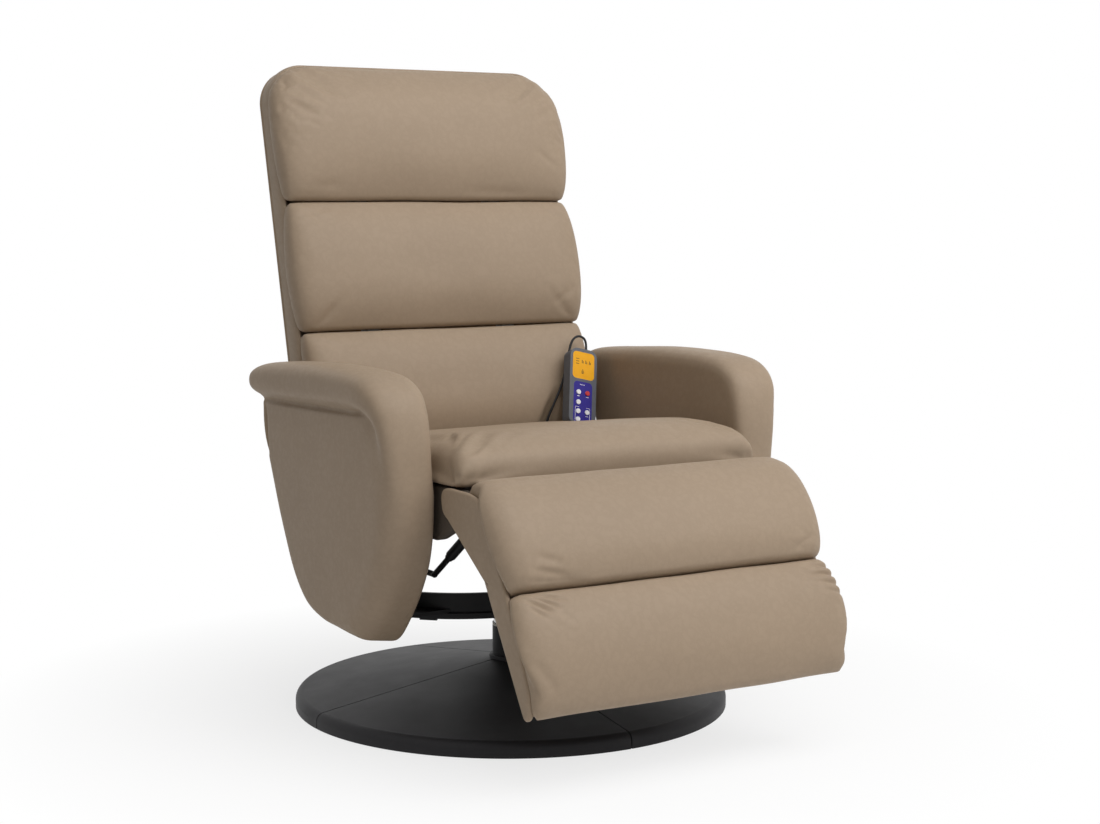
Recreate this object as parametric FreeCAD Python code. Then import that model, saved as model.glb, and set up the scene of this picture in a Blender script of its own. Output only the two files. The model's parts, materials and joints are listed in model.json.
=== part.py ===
import FreeCAD, Part
import math
import os

V = FreeCAD.Vector
os.makedirs("parts", exist_ok=True)

# Swivel massage recliner with an attached padded leg rest, in millimetres.
# Frame: origin on the floor under the swivel axis, +Z up, the sitter faces -Y.
# Right and left are the sitter's own: right is -X, left is +X.

# Shared fits and clearances
cut_overrun = 4.0
running_gap = 0.05
press_gap = 0.02
soft_gap = 0.5
plate_gap = 1.0

# Round base: plate on rubber feet under four cover panels
base_radius = 345.0
rim_floor_gap = 1.5
rim_height = 26.0
rim_edge_radius = 13.0
hub_height = 72.0
cover_wall = 4.0
cover_ledge_width = 18.0
cover_seam = 2.0
base_plate_thickness = 6.0
foot_height = 4.0
foot_radius = 15.0
foot_inset = 40.0
foot_count = 8
panel_screw_radius = 2.5
panel_screw_length = 12.0
panel_screw_angle_shares = (0.25, 0.75)

# Column and swivel
column_radius = 30.0
column_wall = 6.0
column_top = 125.0
column_flange_radius = 75.0
column_flange_thickness = 6.0
column_bolt_radius = 4.0
column_bolt_head = 7.0
column_bolt_head_height = 5.0
column_bolt_circle = 56.0
column_bolt_count = 4
collar_radius = 35.0
collar_height = 7.0
bush_wall = 6.0
bush_length = 30.0
bush_lower_start = 30.0
washer_thickness = 4.0
spindle_bottom = 26.0
spindle_shoulder_height = 6.0
spindle_shoulder_margin = 2.0
swivel_plate_bottom = 149.0
swivel_plate_thickness = 6.0
swivel_plate_length = 112.0
swivel_plate_width = 150.0
swivel_plate_front = 26.0

# Hoop chassis under the seat
hoop_center_y = 158.0
hoop_radius = 206.0
hoop_web = 6.0
hoop_top = 189.0
hoop_end_y = 64.0
hoop_tab_turn_deg = 44.5
hoop_lip = 6.0
hoop_lip_height = 9.0
hoop_tab_length = 28.0
hoop_tab_height = 3.0
rail_width = 30.0
rail_height = 8.0
rail_offset = 50.0
rail_end_y = 84.0
arm_bar_thickness = 6.0
arm_bar_front = -12.0
arm_bar_width = 52.0
arm_bar_upstand = 55.0

# Seat box and cushion
arm_inner_x = 268.0
seat_side_outer_x = 258.0
seat_board = 18.0
seat_box_bottom = 318.0
seat_box_top = 397.0
seat_box_front = -298.0
seat_nose_rise = 38.0
seat_nose_run = 74.0
seat_front_board_y = -262.0
seat_box_rear = 70.0
webbing_thickness = 2.5
webbing_width = 50.0
webbing_count = 6
seat_pad_half_width = 262.0
seat_pad_front = -303.0
seat_pad_rear = 150.0
seat_pad_front_edge = 446.0
seat_pad_crown = 475.0
seat_pad_rear_edge = 428.0
seat_pad_side_drop = 13.0
seat_nose_radius = 13.0
seat_crown_share = 0.62
pad_stations_per_side = 4
pad_squareness = 6

# Arms
arm_panel_outer_x = 340.0
arm_roll_outer_x = 364.0
arm_rear_y = 182.0
arm_top_front = 557.0
arm_bottom = 167.0
arm_front_y = -246.0
arm_panel_shares = {
    "top": ((0.985, 0.802), (0.575, 0.822), (0.290, 0.842), (0.168, 0.825), (0.108, 0.742), (0.094, 0.597),
            (0.100, 0.392), (0.130, 0.285), (0.172, 0.195), (0.232, 0.095)),
    "toe_arc": ((0.264, 0.036), (0.330, 0.000)),
    "bottom": (0.528, 0.000),
    "heel_arc": ((0.615, 0.035), (0.676, 0.102)),
    "rear_arc": ((0.852, 0.398), (0.985, 0.708)),
}
arm_roll_shares = (
    (1.042, 0.838, 1.042, 0.932, 0.930), (0.985, 0.806, 0.985, 0.966, 0.990),
    (0.850, 0.811, 0.850, 0.981, 1.000), (0.710, 0.818, 0.710, 0.992, 1.000),
    (0.570, 0.827, 0.570, 0.999, 1.000), (0.430, 0.838, 0.420, 1.000, 1.000),
    (0.300, 0.846, 0.265, 0.995, 0.990), (0.200, 0.842, 0.150, 0.975, 0.970),
    (0.135, 0.800, 0.065, 0.910, 0.920), (0.105, 0.730, 0.018, 0.800, 0.870),
    (0.092, 0.620, 0.000, 0.640, 0.820), (0.088, 0.490, 0.002, 0.490, 0.790),
    (0.098, 0.372, 0.014, 0.360, 0.770), (0.128, 0.292, 0.046, 0.266, 0.755),
    (0.178, 0.200, 0.106, 0.162, 0.750), (0.238, 0.110, 0.178, 0.070, 0.745),
)
arm_roll_round_share = 0.42
arm_inner_round_share = 0.30
pocket_thickness = 9.0
pocket_slot = 6.0
pocket_slot_depth = 130.0
pocket_slot_shares = (0.56, 0.75)
arm_bolt_places = ((-180.0, 331.0), (35.0, 331.0))
arm_spacer_radius = 12.0
arm_bolt_radius = 4.0
arm_bolt_head = 7.0
arm_bolt_head_height = 3.0
arm_bolt_bite = 30.0

# Back, measured along the reclined back plane from its lower crease
back_lean_deg = 13.2
back_crease_y = 215.0
back_crease_z = 590.0
back_pad_bottom = -168.0
back_crease_upper = 215.0
back_top = 448.0
back_side_margin = 37.0
lumbar_side_inset = 3.0
back_pad_rear = -15.0
back_pad_edge = 8.0
back_pad_crown = 40.0
pad_side_share = 0.45
pad_crown_share = 0.45
back_frame_depth = 30.0
back_shell_wall = 12.0
back_shell_front = -19.0
back_shell_corner = 60.0
back_shell_bottom = -150.0
back_upright_width = 27.0
back_rail_height = 72.0
back_rail_top_drop = 40.0

# Recline and leg rest linkage
back_pivot_y = 160.0
back_pivot_z = 380.0
leg_pivot_y = -345.0
leg_pivot_z = 372.0
link_plate = 6.0
side_plate_lug = 17.0
side_plate_drop = 18.0
side_plate_knee_y = 95.0
pivot_pin_radius = 6.0
pin_head_radius = 10.0
pin_head_height = 3.0
crank_pin_y = 150.0
crank_pin_z = 254.0
crank_width = 34.0
crank_stem_length = 110.0
lever_pin_y = -314.0
lever_pin_z = 312.0
rod_radius = 4.5
rod_eye_radius = 15.0
rod_bend_swell = 0.4
rod_eye_width = 10.0
rod_pin_radius = 5.0
rod_lost_motion = 5.0
rod_dip_y = -150.0
rod_dip_z = 252.0
rod_knee_y = -266.0
rod_knee_z = 335.0
knuckle_radius = 8.0
knuckle_start = 62.0
knuckle_length = 50.0
knuckle_nut_radius = 6.5
knuckle_nut_length = 7.0

# Leg rest, measured down its board from the board's top edge
leg_board_y = -350.0
leg_board_z = 328.0
leg_board_lean_deg = 31.3
leg_board_length = 250.0
leg_board_thickness = 14.0
leg_half_width = 272.0
leg_upper_half_width = 268.0
leg_crease = 94.0
leg_crease_depth = 64.0
leg_pad_end_radius = 40.0
leg_upper_crown = 88.0
leg_lower_crown = 74.0
leg_toe_length = 262.0
leg_toe_depth = 34.0
leg_board_side = 14.0
leg_lever_half_width = 13.0
leg_flange_length = 80.0
leg_flange_height = 20.0
leg_flange_start = 6.0
leg_round_turns_deg = (112.0, 60.0, 10.0, -40.0, -92.0)
leg_side_share = 0.6
upper_crown_share = 0.30
lower_crown_share = 0.30
toe_round_share = 0.55
notch_margin = 2.5
notch_turns_deg = (-95.0, -40.0, 20.0, 75.0)
notch_reach_share = 1.6
notch_hub_radius = 24.0

# Handset
handset_x = 192.0
handset_foot_y = 98.0
handset_foot_z = 422.4
handset_lean_deg = 20.0
handset_roll_deg = 14.0
handset_length = 136.0
handset_width = 52.0
handset_depth = 22.0
handset_wall = 2.0
handset_corner = 14.0
handset_split_share = 0.45
window_length = 48.0
window_width = 42.0
window_top_margin = 6.0
window_thickness = 1.5
keypad_length = 73.0
keypad_width = 36.0
keypad_bottom_margin = 4.0
button_radius = 4.2
button_height = 5.0
button_stand = 1.6
button_travel = 1.0
button_gap = 0.15
button_column_share = 0.24
button_row_shares = (0.076, 0.272, 0.493, 0.737)
button_places = {
    "button_program_1": (-1, 3), "button_program_2": (-1, 2), "button_program_3": (-1, 1),
    "button_program_4": (-1, 0), "button_power": (1, 3), "button_heat": (1, 1),
}
handset_board_thickness = 1.6
handset_dent_gap = 2.5

# Handset cord and its fittings
cord_radius = 2.0
relief_radius = 4.0
relief_length = 9.0
relief_side = 14.0
grommet_radius = 7.0
grommet_length = 8.0
grommet_edge = 2.0
grommet_x = 150.0
grommet_z = 361.0
cord_route = [
    (243.9, 155.0, 561.6), (235.5, 157.0, 570.5), (224.0, 157.5, 570.5), (215.0, 157.5, 562.0),
    (208.5, 156.5, 541.0), (199.0, 150.0, 514.0), (188.0, 146.0, 489.0), (177.0, 147.0, 465.0),
    (169.0, 151.0, 445.0), (164.0, 155.0, 428.0), (158.5, 157.0, 411.0), (154.0, 155.0, 393.0),
    (151.0, 146.0, 378.0), (150.0, 131.0, 368.0), (150.0, 113.0, 363.0), (150.0, 95.0, 361.5),
]
cord_arc_share = 0.45

# Vibration motors
motor_radius = 20.0
motor_length = 26.0
motor_boss_radius = 8.0
motor_boss_height = 4.0
motor_hole_gap = 0.1
back_motor_x = 128.0
seat_motor_x = 130.0
seat_motor_y = -205.0
seat_motor_rail_width = 60.0
seat_motor_rail_thickness = 30.0

# Under-seat electrics
control_box_width = 120.0
control_box_height = 60.0
control_box_depth = 32.0
control_box_edge = 2.0
inlet_radius = 7.0
inlet_bore = 3.0
inlet_length = 12.0
inlet_z = 350.0


def save(name, shape):
    """Write one named piece and report its solids and volume."""
    shape.exportStep("parts/" + name + ".step")
    print(name, len(shape.Solids), round(shape.Volume / 1000.0, 1), "cm3", shape.isValid())


def cylinder(radius, start, along, length):
    return Part.makeCylinder(radius, length, start, along)


def tube(outer, inner, start, along, length):
    back = start - along * cut_overrun
    bore = cylinder(inner, back, along, length + cut_overrun + cut_overrun)
    return cylinder(outer, start, along, length).cut(bore)


def box_between(low, high):
    size = high - low
    return Part.makeBox(size.x, size.y, size.z, low)


def mirrored(shape):
    """The same piece on the other side of the sitter's middle plane."""
    return shape.mirror(V(0, 0, 0), V(1, 0, 0))


def both_sides(shape):
    return Part.makeCompound([shape, mirrored(shape)])


def line(a, b):
    return Part.LineSegment(a, b).toShape()


def arc(a, middle, b):
    return Part.Arc(a, middle, b).toShape()


def polygon_face(points):
    return Part.Face(Part.makePolygon(points + [points[0]]))


def loft(wires):
    return Part.makeLoft(wires, True, False)


up = V(0, 0, 1)
across = V(1, 0, 0)
rearward = V(0, 1, 0)

# Round base
plate_top = foot_height + base_plate_thickness
plate_radius = base_radius - cover_wall - plate_gap
flange_top = plate_top + column_flange_thickness
column_bore = column_radius - column_wall
spindle_radius = column_bore - bush_wall - running_gap


def ring_places(count, radius, z, turn_share=0.5):
    """Evenly spaced places on a circle about the swivel axis."""
    step = math.tau / count
    return [V(radius * math.cos(step * (i + turn_share)), radius * math.sin(step * (i + turn_share)), z)
            for i in range(count)]


def panel_screw_places():
    radius = base_radius - rim_edge_radius - cover_ledge_width / 2
    turns = [math.tau / 4 * (quarter + share) for quarter in range(4) for share in panel_screw_angle_shares]
    return [V(radius * math.cos(turn), radius * math.sin(turn), foot_height) for turn in turns]


def panel_screw_holes():
    length = panel_screw_length + cut_overrun
    return [cylinder(panel_screw_radius + press_gap, place - up * cut_overrun, up, length)
            for place in panel_screw_places()]


def column_bolt_holes():
    places = ring_places(column_bolt_count, column_bolt_circle, foot_height - cut_overrun)
    depth = flange_top - foot_height + cut_overrun + cut_overrun
    return [cylinder(column_bolt_radius + press_gap, place, up, depth) for place in places]


def make_base_plate():
    disc = cylinder(plate_radius, V(0, 0, foot_height), up, base_plate_thickness)
    return disc.cut(panel_screw_holes() + column_bolt_holes())


def make_base_feet():
    places = ring_places(foot_count, plate_radius - foot_inset, 0) + [V(0, 0, 0)]
    return Part.makeCompound([cylinder(foot_radius, place, up, foot_height) for place in places])


def make_cover_ring():
    """All four cover panels as one turned shell, before the seams part them."""
    hub_radius = column_radius + plate_gap
    shoulder = base_radius - rim_edge_radius
    round_share = math.sin(math.pi / 4)
    outer_low = V(base_radius, 0, rim_floor_gap)
    outer_high = V(base_radius, 0, rim_height - rim_edge_radius)
    round_middle = V(shoulder + rim_edge_radius * round_share, 0,
                     rim_height - rim_edge_radius + rim_edge_radius * round_share)
    round_end = V(shoulder, 0, rim_height)
    inside = shoulder - cover_ledge_width
    rest = [V(hub_radius, 0, hub_height), V(hub_radius, 0, hub_height - cover_wall),
            V(inside, 0, rim_height - cover_wall), V(inside, 0, plate_top),
            V(base_radius - cover_wall, 0, plate_top), V(base_radius - cover_wall, 0, rim_floor_gap)]
    corners = [round_end] + rest + [outer_low]
    edges = [line(outer_low, outer_high), arc(outer_high, round_middle, round_end)]
    edges += [line(a, b) for a, b in zip(corners, corners[1:])]
    ring = Part.Face(Part.Wire(edges)).revolve(V(0, 0, 0), up, 360)
    return ring.cut(panel_screw_holes())


def make_cover_panel(ring, side_x, side_y):
    """One quarter of the cover, half a seam clear of its neighbours."""
    reach = base_radius + cut_overrun
    corner_x = V(side_x * cover_seam / 2, side_y * cover_seam / 2, 0)
    far = V(side_x * reach, side_y * reach, hub_height + cut_overrun)
    low = V(min(corner_x.x, far.x), min(corner_x.y, far.y), 0)
    high = V(max(corner_x.x, far.x), max(corner_x.y, far.y), far.z)
    return ring.common(box_between(low, high))


def make_panel_screws():
    return Part.makeCompound([cylinder(panel_screw_radius, place, up, panel_screw_length)
                              for place in panel_screw_places()])


def make_column_tube():
    wall = cylinder(column_radius, V(0, 0, plate_top), up, column_top - plate_top)
    flange = cylinder(column_flange_radius, V(0, 0, plate_top), up, column_flange_thickness)
    bore = cylinder(column_bore, V(0, 0, plate_top - cut_overrun), up, column_top)
    return wall.fuse(flange).cut([bore] + column_bolt_holes()).removeSplitter()


def make_column_bolts():
    bolts = []
    for place in ring_places(column_bolt_count, column_bolt_circle, foot_height):
        shank = cylinder(column_bolt_radius, place, up, flange_top - foot_height)
        seat = place + up * (flange_top - foot_height)
        head = cylinder(column_bolt_head, seat, up, column_bolt_head_height)
        bolts.append(shank.fuse(head).removeSplitter())
    return Part.makeCompound(bolts)


def make_column_collar():
    ring = tube(collar_radius, column_radius + press_gap, V(0, 0, hub_height), up, collar_height)
    top_edges = [e for e in ring.Edges
                 if e.BoundBox.ZMin > hub_height and e.BoundBox.XMax > column_radius + plate_gap]
    return ring.makeFillet((collar_radius - column_radius) / 2, top_edges)


def make_column_bushes():
    starts = (bush_lower_start, column_top - bush_length)
    outer = column_bore - press_gap
    inner = column_bore - bush_wall
    return Part.makeCompound([tube(outer, inner, V(0, 0, z), up, bush_length) for z in starts])


def make_thrust_washer():
    inner = column_bore - bush_wall + plate_gap
    return tube(column_radius, inner, V(0, 0, column_top), up, washer_thickness)


# Swivelling chassis
def make_spindle():
    shoulder_z = column_top + washer_thickness + running_gap
    shaft = cylinder(spindle_radius, V(0, 0, spindle_bottom), up, swivel_plate_bottom - spindle_bottom)
    shoulder_radius = column_radius - spindle_shoulder_margin
    shoulder = cylinder(shoulder_radius, V(0, 0, shoulder_z), up, spindle_shoulder_height)
    return shaft.fuse(shoulder).removeSplitter()


rail_bottom = swivel_plate_bottom + swivel_plate_thickness


def make_swivel_plate():
    low = V(-swivel_plate_width / 2, -swivel_plate_front, swivel_plate_bottom)
    plate = Part.makeBox(swivel_plate_width, swivel_plate_length, swivel_plate_thickness, low)
    corners = [e for e in plate.Edges if abs(e.BoundBox.ZLength - swivel_plate_thickness) < running_gap]
    return plate.makeFillet(rail_width / 2, corners)


def make_chassis_rails():
    inside = cylinder(hoop_radius - hoop_web - press_gap, V(0, hoop_center_y, rail_bottom), up, rail_height)
    rails = []
    for side in (-1, 1):
        low = V(side * rail_offset - rail_width / 2, hoop_center_y - hoop_radius, rail_bottom)
        high = V(side * rail_offset + rail_width / 2, rail_end_y, rail_bottom + rail_height)
        rails.append(box_between(low, high).common(inside))
    return Part.makeCompound(rails)


def make_hoop():
    """Curved front member: an upright web over a wider lower lip, with a small stop tab below."""
    center = V(0, hoop_center_y, swivel_plate_bottom)
    web = tube(hoop_radius, hoop_radius - hoop_web, center, up, hoop_top - swivel_plate_bottom)
    lip = tube(hoop_radius + hoop_lip, hoop_radius - hoop_web, center, up, hoop_lip_height)
    reach = hoop_radius + hoop_lip + cut_overrun
    behind = box_between(V(-reach, hoop_end_y, swivel_plate_bottom - cut_overrun),
                         V(reach, hoop_center_y + reach, hoop_top + cut_overrun))
    turn = math.radians(hoop_tab_turn_deg)
    toward = V(-math.sin(turn), -math.cos(turn), 0)
    tab = Part.makeBox(hoop_tab_length, hoop_lip, hoop_tab_height + hoop_web)
    tab.translate(V(-hoop_tab_length / 2, -hoop_lip, -hoop_tab_height))
    tab.rotate(V(0, 0, 0), up, -math.degrees(turn))
    tab.translate(center + toward * (hoop_radius - hoop_web / 2))
    return web.fuse([lip, tab]).removeSplitter().cut(behind)


def make_arm_bars():
    """Flat bars from the hoop's lip out to the foot of each arm, with an upstand on the arm."""
    lip_top = swivel_plate_bottom + hoop_lip_height
    below = V(0, hoop_center_y, lip_top - cut_overrun)
    outside = cylinder(hoop_radius + press_gap, below, up, arm_bar_upstand)
    bar = Part.makeBox(arm_inner_x, arm_bar_width, arm_bar_thickness, V(0, arm_bar_front, lip_top))
    upstand = Part.makeBox(arm_bar_thickness, arm_bar_width, arm_bar_upstand,
                           V(arm_inner_x - arm_bar_thickness, arm_bar_front, lip_top))
    return both_sides(bar.fuse(upstand).removeSplitter().cut(outside))


# Seat box
def make_seat_side():
    x = seat_side_outer_x - seat_board
    corners = [V(x, seat_box_front, seat_box_bottom + seat_nose_rise),
               V(x, seat_box_front + seat_nose_run, seat_box_bottom), V(x, seat_box_rear, seat_box_bottom),
               V(x, seat_box_rear, seat_box_top), V(x, seat_box_front, seat_box_top)]
    return polygon_face(corners).extrude(across * seat_board)


def make_seat_cross_board(front_y, bottom):
    half = seat_side_outer_x - seat_board - link_plate
    return box_between(V(-half, front_y, bottom), V(half, front_y + seat_board, seat_box_top))


def make_seat_webbing():
    rear = seat_box_rear
    inner = seat_side_outer_x - seat_board
    pitch = (inner + inner) / webbing_count
    straps = []
    for i in range(webbing_count):
        left = -inner + pitch * i + (pitch - webbing_width) / 2
        straps.append(Part.makeBox(webbing_width, rear - seat_front_board_y, webbing_thickness,
                                   V(left, seat_front_board_y, seat_box_top)))
    return Part.makeCompound(straps)


def seat_profile(x, swell):
    """Closed outline of the seat cushion at one station across its width."""
    bottom = seat_box_top + webbing_thickness + soft_gap
    drop = seat_pad_side_drop * (1 - swell)
    front = seat_pad_front + drop
    rear = seat_pad_rear - drop
    edge_z = seat_pad_front_edge - drop
    crown_z = seat_pad_crown - drop - drop
    rear_z = seat_pad_rear_edge - drop
    nose = seat_nose_radius + drop
    crown_y = front + (seat_pad_crown - bottom) * seat_crown_share
    a = V(x, rear, bottom)
    b = V(x, front + nose, bottom)
    c = V(x, front + nose / 2, edge_z)
    d = V(x, crown_y, crown_z)
    e = V(x, rear, rear_z)
    edges = [line(a, b), arc(b, V(x, front, (bottom + edge_z) / 2), c)]
    edges += [arc(c, V(x, (c.y + d.y) / 2 - nose / 2, (c.z + d.z) / 2 + nose / 3), d)]
    edges += [arc(d, V(x, (d.y + e.y) / 2, (d.z + e.z) / 2 + nose / 2), e), line(e, a)]
    return Part.Wire(edges)


def pad_stations():
    """Places across a pad, close together at its ends, with how full the pad is at each."""
    step = math.pi / 2 / pad_stations_per_side
    shares = [math.sin(step * i) for i in range(-pad_stations_per_side, pad_stations_per_side + 1)]
    return [(share, math.sqrt(max(0, 1 - abs(share) ** pad_squareness))) for share in shares]


def make_seat_pad():
    return loft([seat_profile(share * seat_pad_half_width, swell) for share, swell in pad_stations()])


# Arms: a board panel under a padded roll that bends down the front edge


def arm_point(x, y_share, z_share):
    return V(x, arm_front_y + y_share * (arm_rear_y - arm_front_y),
             arm_bottom + z_share * (arm_top_front - arm_bottom))


def arm_outline(x):
    top = [arm_point(x, *share) for share in arm_panel_shares["top"]]
    toe = [arm_point(x, *share) for share in arm_panel_shares["toe_arc"]]
    heel = [arm_point(x, *share) for share in arm_panel_shares["heel_arc"]]
    bottom = arm_point(x, *arm_panel_shares["bottom"])
    edges = [line(a, b) for a, b in zip(top, top[1:])]
    edges += [arc(top[-1], toe[0], toe[1]), line(toe[1], bottom)]
    rear = [arm_point(x, *share) for share in arm_panel_shares["rear_arc"]]
    edges += [arc(bottom, heel[0], heel[1]), arc(heel[1], rear[0], rear[1]), line(rear[1], top[0])]
    return Part.Face(Part.Wire(edges))


def roll_section(shares):
    """Rounded section of the arm roll: flat on the inner side, full on the outer side."""
    inner_low = arm_point(arm_inner_x, shares[0], shares[1])
    inner_high = arm_point(arm_inner_x, shares[2], shares[3])
    rise = inner_high - inner_low
    normal = V(rise).normalize()
    wide = shares[4] * (arm_roll_outer_x - arm_inner_x)
    outer_round = arm_roll_round_share * rise.Length
    inner_round = arm_inner_round_share * rise.Length
    bend = 1 - math.sin(math.pi / 4)

    def at(x, height):
        return inner_low + across * x + normal * height

    top = rise.Length
    edges = [line(at(0, 0), at(0, top - inner_round)),
             arc(at(0, top - inner_round), at(inner_round * bend, top - inner_round * bend),
                 at(inner_round, top)),
             line(at(inner_round, top), at(wide - outer_round, top)),
             arc(at(wide - outer_round, top), at(wide - outer_round * bend, top - outer_round * bend),
                 at(wide, top - outer_round)),
             line(at(wide, top - outer_round), at(wide, outer_round)),
             arc(at(wide, outer_round), at(wide - outer_round * bend, outer_round * bend),
                 at(wide - outer_round, 0)),
             line(at(wide - outer_round, 0), at(0, 0))]
    return Part.Wire(edges)


def make_arm_roll():
    return loft([roll_section(shares) for shares in arm_roll_shares])


def make_arm_panel(roll):
    face = arm_outline(arm_inner_x)
    panel = face.extrude(across * (arm_panel_outer_x - arm_inner_x))
    return panel.cut(roll)


def make_side_pocket(roll):
    """Outer panel of the sitter's right arm, open along its rear edge as a pocket."""
    panel = arm_outline(arm_panel_outer_x).extrude(across * pocket_thickness)
    low = arm_point(arm_panel_outer_x, 1, pocket_slot_shares[0])
    high = arm_point(arm_panel_outer_x + pocket_slot, 1, pocket_slot_shares[1])
    slot = box_between(V(low.x, low.y - pocket_slot_depth, low.z), V(high.x, high.y + cut_overrun, high.z))
    return panel.cut([roll, slot])


# Reclined back
lean = math.radians(back_lean_deg)
back_up = V(0, math.sin(lean), math.cos(lean))
back_out = V(0, -math.cos(lean), math.sin(lean))


def back_point(x, along, out):
    return V(x, back_crease_y, back_crease_z) + back_up * along + back_out * out


def back_box(x0, x1, along0, along1, out0, out1):
    """A bar set in the reclined back's own directions."""
    corners = [back_point(x0, along0, out0), back_point(x0, along1, out0),
               back_point(x0, along1, out1), back_point(x0, along0, out1)]
    return polygon_face(corners).extrude(across * (x1 - x0))


def pad_profile(x, low, high, swell):
    """Closed outline of one back pad at one station: flat rear, rolled ends, full front."""
    draw = back_pad_edge * (1 - swell)
    rear = back_pad_rear + soft_gap
    edge = back_pad_edge * swell
    crown = edge + (back_pad_crown - back_pad_edge) * (pad_side_share + (1 - pad_side_share) * swell)
    roll = back_pad_edge + draw
    low = low + soft_gap
    high = high - soft_gap
    a = back_point(x, low + roll, rear)
    b = back_point(x, high - roll, rear)
    c = back_point(x, high - roll, edge)
    d = back_point(x, low + roll, edge)
    edges = [line(a, b), arc(b, back_point(x, high, (rear + edge) / 2), c),
             arc(c, back_point(x, low + (high - low) * pad_crown_share, crown), d),
             arc(d, back_point(x, low, (rear + edge) / 2), a)]
    return Part.Wire(edges)


def make_back_pad(low, high, half_width):
    return loft([pad_profile(share * half_width, low, high, swell) for share, swell in pad_stations()])


def corner_drop(x, half_width, radius):
    """How far a rounded top corner lies below the crest at this station."""
    reach = max(0, abs(x) - (half_width - radius))
    return radius - math.sqrt(max(0, radius * radius - reach * reach))


def make_head_pad():
    wires = []
    for share, swell in pad_stations():
        x = share * back_half_width
        high = back_top - corner_drop(x, back_half_width, back_shell_corner)
        wires.append(pad_profile(x, back_crease_upper, high, swell))
    return loft(wires)


def shell_outline(out, margin):
    """Rear shell outline at one depth: square at the bottom, round at the top corners."""
    half = back_half_width - margin
    high = back_top - margin
    radius = back_shell_corner - margin
    bend = radius * (1 - math.sin(math.pi / 4))
    low = back_shell_bottom
    points = [back_point(half, low, out), back_point(half, high - radius, out),
              back_point(half - bend, high - bend, out), back_point(half - radius, high, out),
              back_point(radius - half, high, out), back_point(bend - half, high - bend, out),
              back_point(-half, high - radius, out), back_point(-half, low, out)]
    edges = [line(points[0], points[1]), arc(points[1], points[2], points[3]), line(points[3], points[4]),
             arc(points[4], points[5], points[6]), line(points[6], points[7]), line(points[7], points[0])]
    return Part.Face(Part.Wire(edges))


def make_back_shell():
    inner_floor = back_pad_rear - back_frame_depth
    rear = inner_floor - back_shell_wall
    outside = shell_outline(rear, 0).extrude(back_out * (back_shell_front - rear))
    depth = back_shell_front - inner_floor + cut_overrun
    inside = shell_outline(inner_floor, back_shell_wall).extrude(back_out * depth)
    bottom = back_box(-back_half_width + back_shell_wall, back_half_width - back_shell_wall,
                      back_shell_bottom - cut_overrun, back_shell_bottom + cut_overrun,
                      inner_floor, back_shell_front + cut_overrun)
    shell = outside.cut([inside, bottom])
    rear_edges = [e for e in shell.Edges
                  if abs((e.CenterOfMass - back_point(0, 0, rear)).dot(back_out)) < running_gap
                  and e.CenterOfMass.z > back_point(0, back_shell_bottom, rear).z + cut_overrun]
    return shell.makeFillet(back_shell_wall - plate_gap, rear_edges)


def make_back_uprights():
    rail_top = back_top - back_rail_top_drop
    bar = back_box(back_upright_inner_x, back_upright_outer_x, back_pad_bottom, rail_top,
                   back_pad_rear - back_frame_depth, back_pad_rear)
    return both_sides(bar)


back_motor_alongs = (0, back_crease_upper)
motor_floor_out = back_pad_rear - motor_length - plate_gap


def back_motor_places():
    return [back_point(side * back_motor_x, along, motor_floor_out)
            for along in back_motor_alongs for side in (-1, 1)]


def make_back_rails():
    rear = back_pad_rear - back_frame_depth
    rails = [back_box(-back_upright_inner_x, back_upright_inner_x, along - back_rail_height / 2,
                      along + back_rail_height / 2, rear, back_pad_rear) for along in back_motor_alongs]
    top = back_top - back_rail_top_drop
    rails.append(back_box(-back_upright_inner_x, back_upright_inner_x, top - back_rail_height / 2, top,
                          rear, back_pad_rear))
    holes = [cylinder(motor_radius + motor_hole_gap, place, back_out, back_frame_depth)
             for place in back_motor_places()]
    return Part.makeCompound([rail.cut(holes) for rail in rails])


# Recline linkage: side plates, cranks, levers and push rods
plate_outer_x = seat_side_outer_x - seat_board
plate_inner_x = plate_outer_x - link_plate
bracket_outer_x = plate_inner_x - plate_gap
bracket_inner_x = bracket_outer_x - link_plate
rod_outer_x = bracket_inner_x - plate_gap
rod_inner_x = rod_outer_x - rod_eye_width
back_upright_outer_x = bracket_inner_x
back_upright_inner_x = back_upright_outer_x - back_upright_width
back_half_width = back_upright_outer_x + back_side_margin
lumbar_half_width = back_half_width - lumbar_side_inset


def strap(x0, x1, start, end, half_width):
    """Flat link with round ends between two (y, z) places."""
    a = V(x0, start[0], start[1])
    b = V(x0, end[0], end[1])
    along = (b - a).normalize()
    side = along.cross(across) * half_width
    bar = polygon_face([a + side, b + side, b - side, a - side]).extrude(across * (x1 - x0))
    ends = [cylinder(half_width, place, across, x1 - x0) for place in (a, b)]
    return bar.fuse(ends).removeSplitter()


def pin_hole(place, radius, x0, x1):
    start = V(x0 - cut_overrun, place[0], place[1])
    return cylinder(radius, start, across, x1 - x0 + cut_overrun + cut_overrun)


back_pivot = (back_pivot_y, back_pivot_z)
leg_pivot = (leg_pivot_y, leg_pivot_z)
crank_pin = (crank_pin_y, crank_pin_z)
lever_pin = (lever_pin_y, lever_pin_z)


def make_side_plate():
    knee = (side_plate_knee_y, back_pivot_z - side_plate_drop)
    front = strap(plate_inner_x, plate_outer_x, leg_pivot, knee, side_plate_lug)
    rear = strap(plate_inner_x, plate_outer_x, knee, back_pivot, side_plate_lug)
    holes = [pin_hole(place, pivot_pin_radius + press_gap, plate_inner_x, plate_outer_x)
             for place in (back_pivot, leg_pivot)]
    return front.fuse(rear).removeSplitter().cut(holes)


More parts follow.
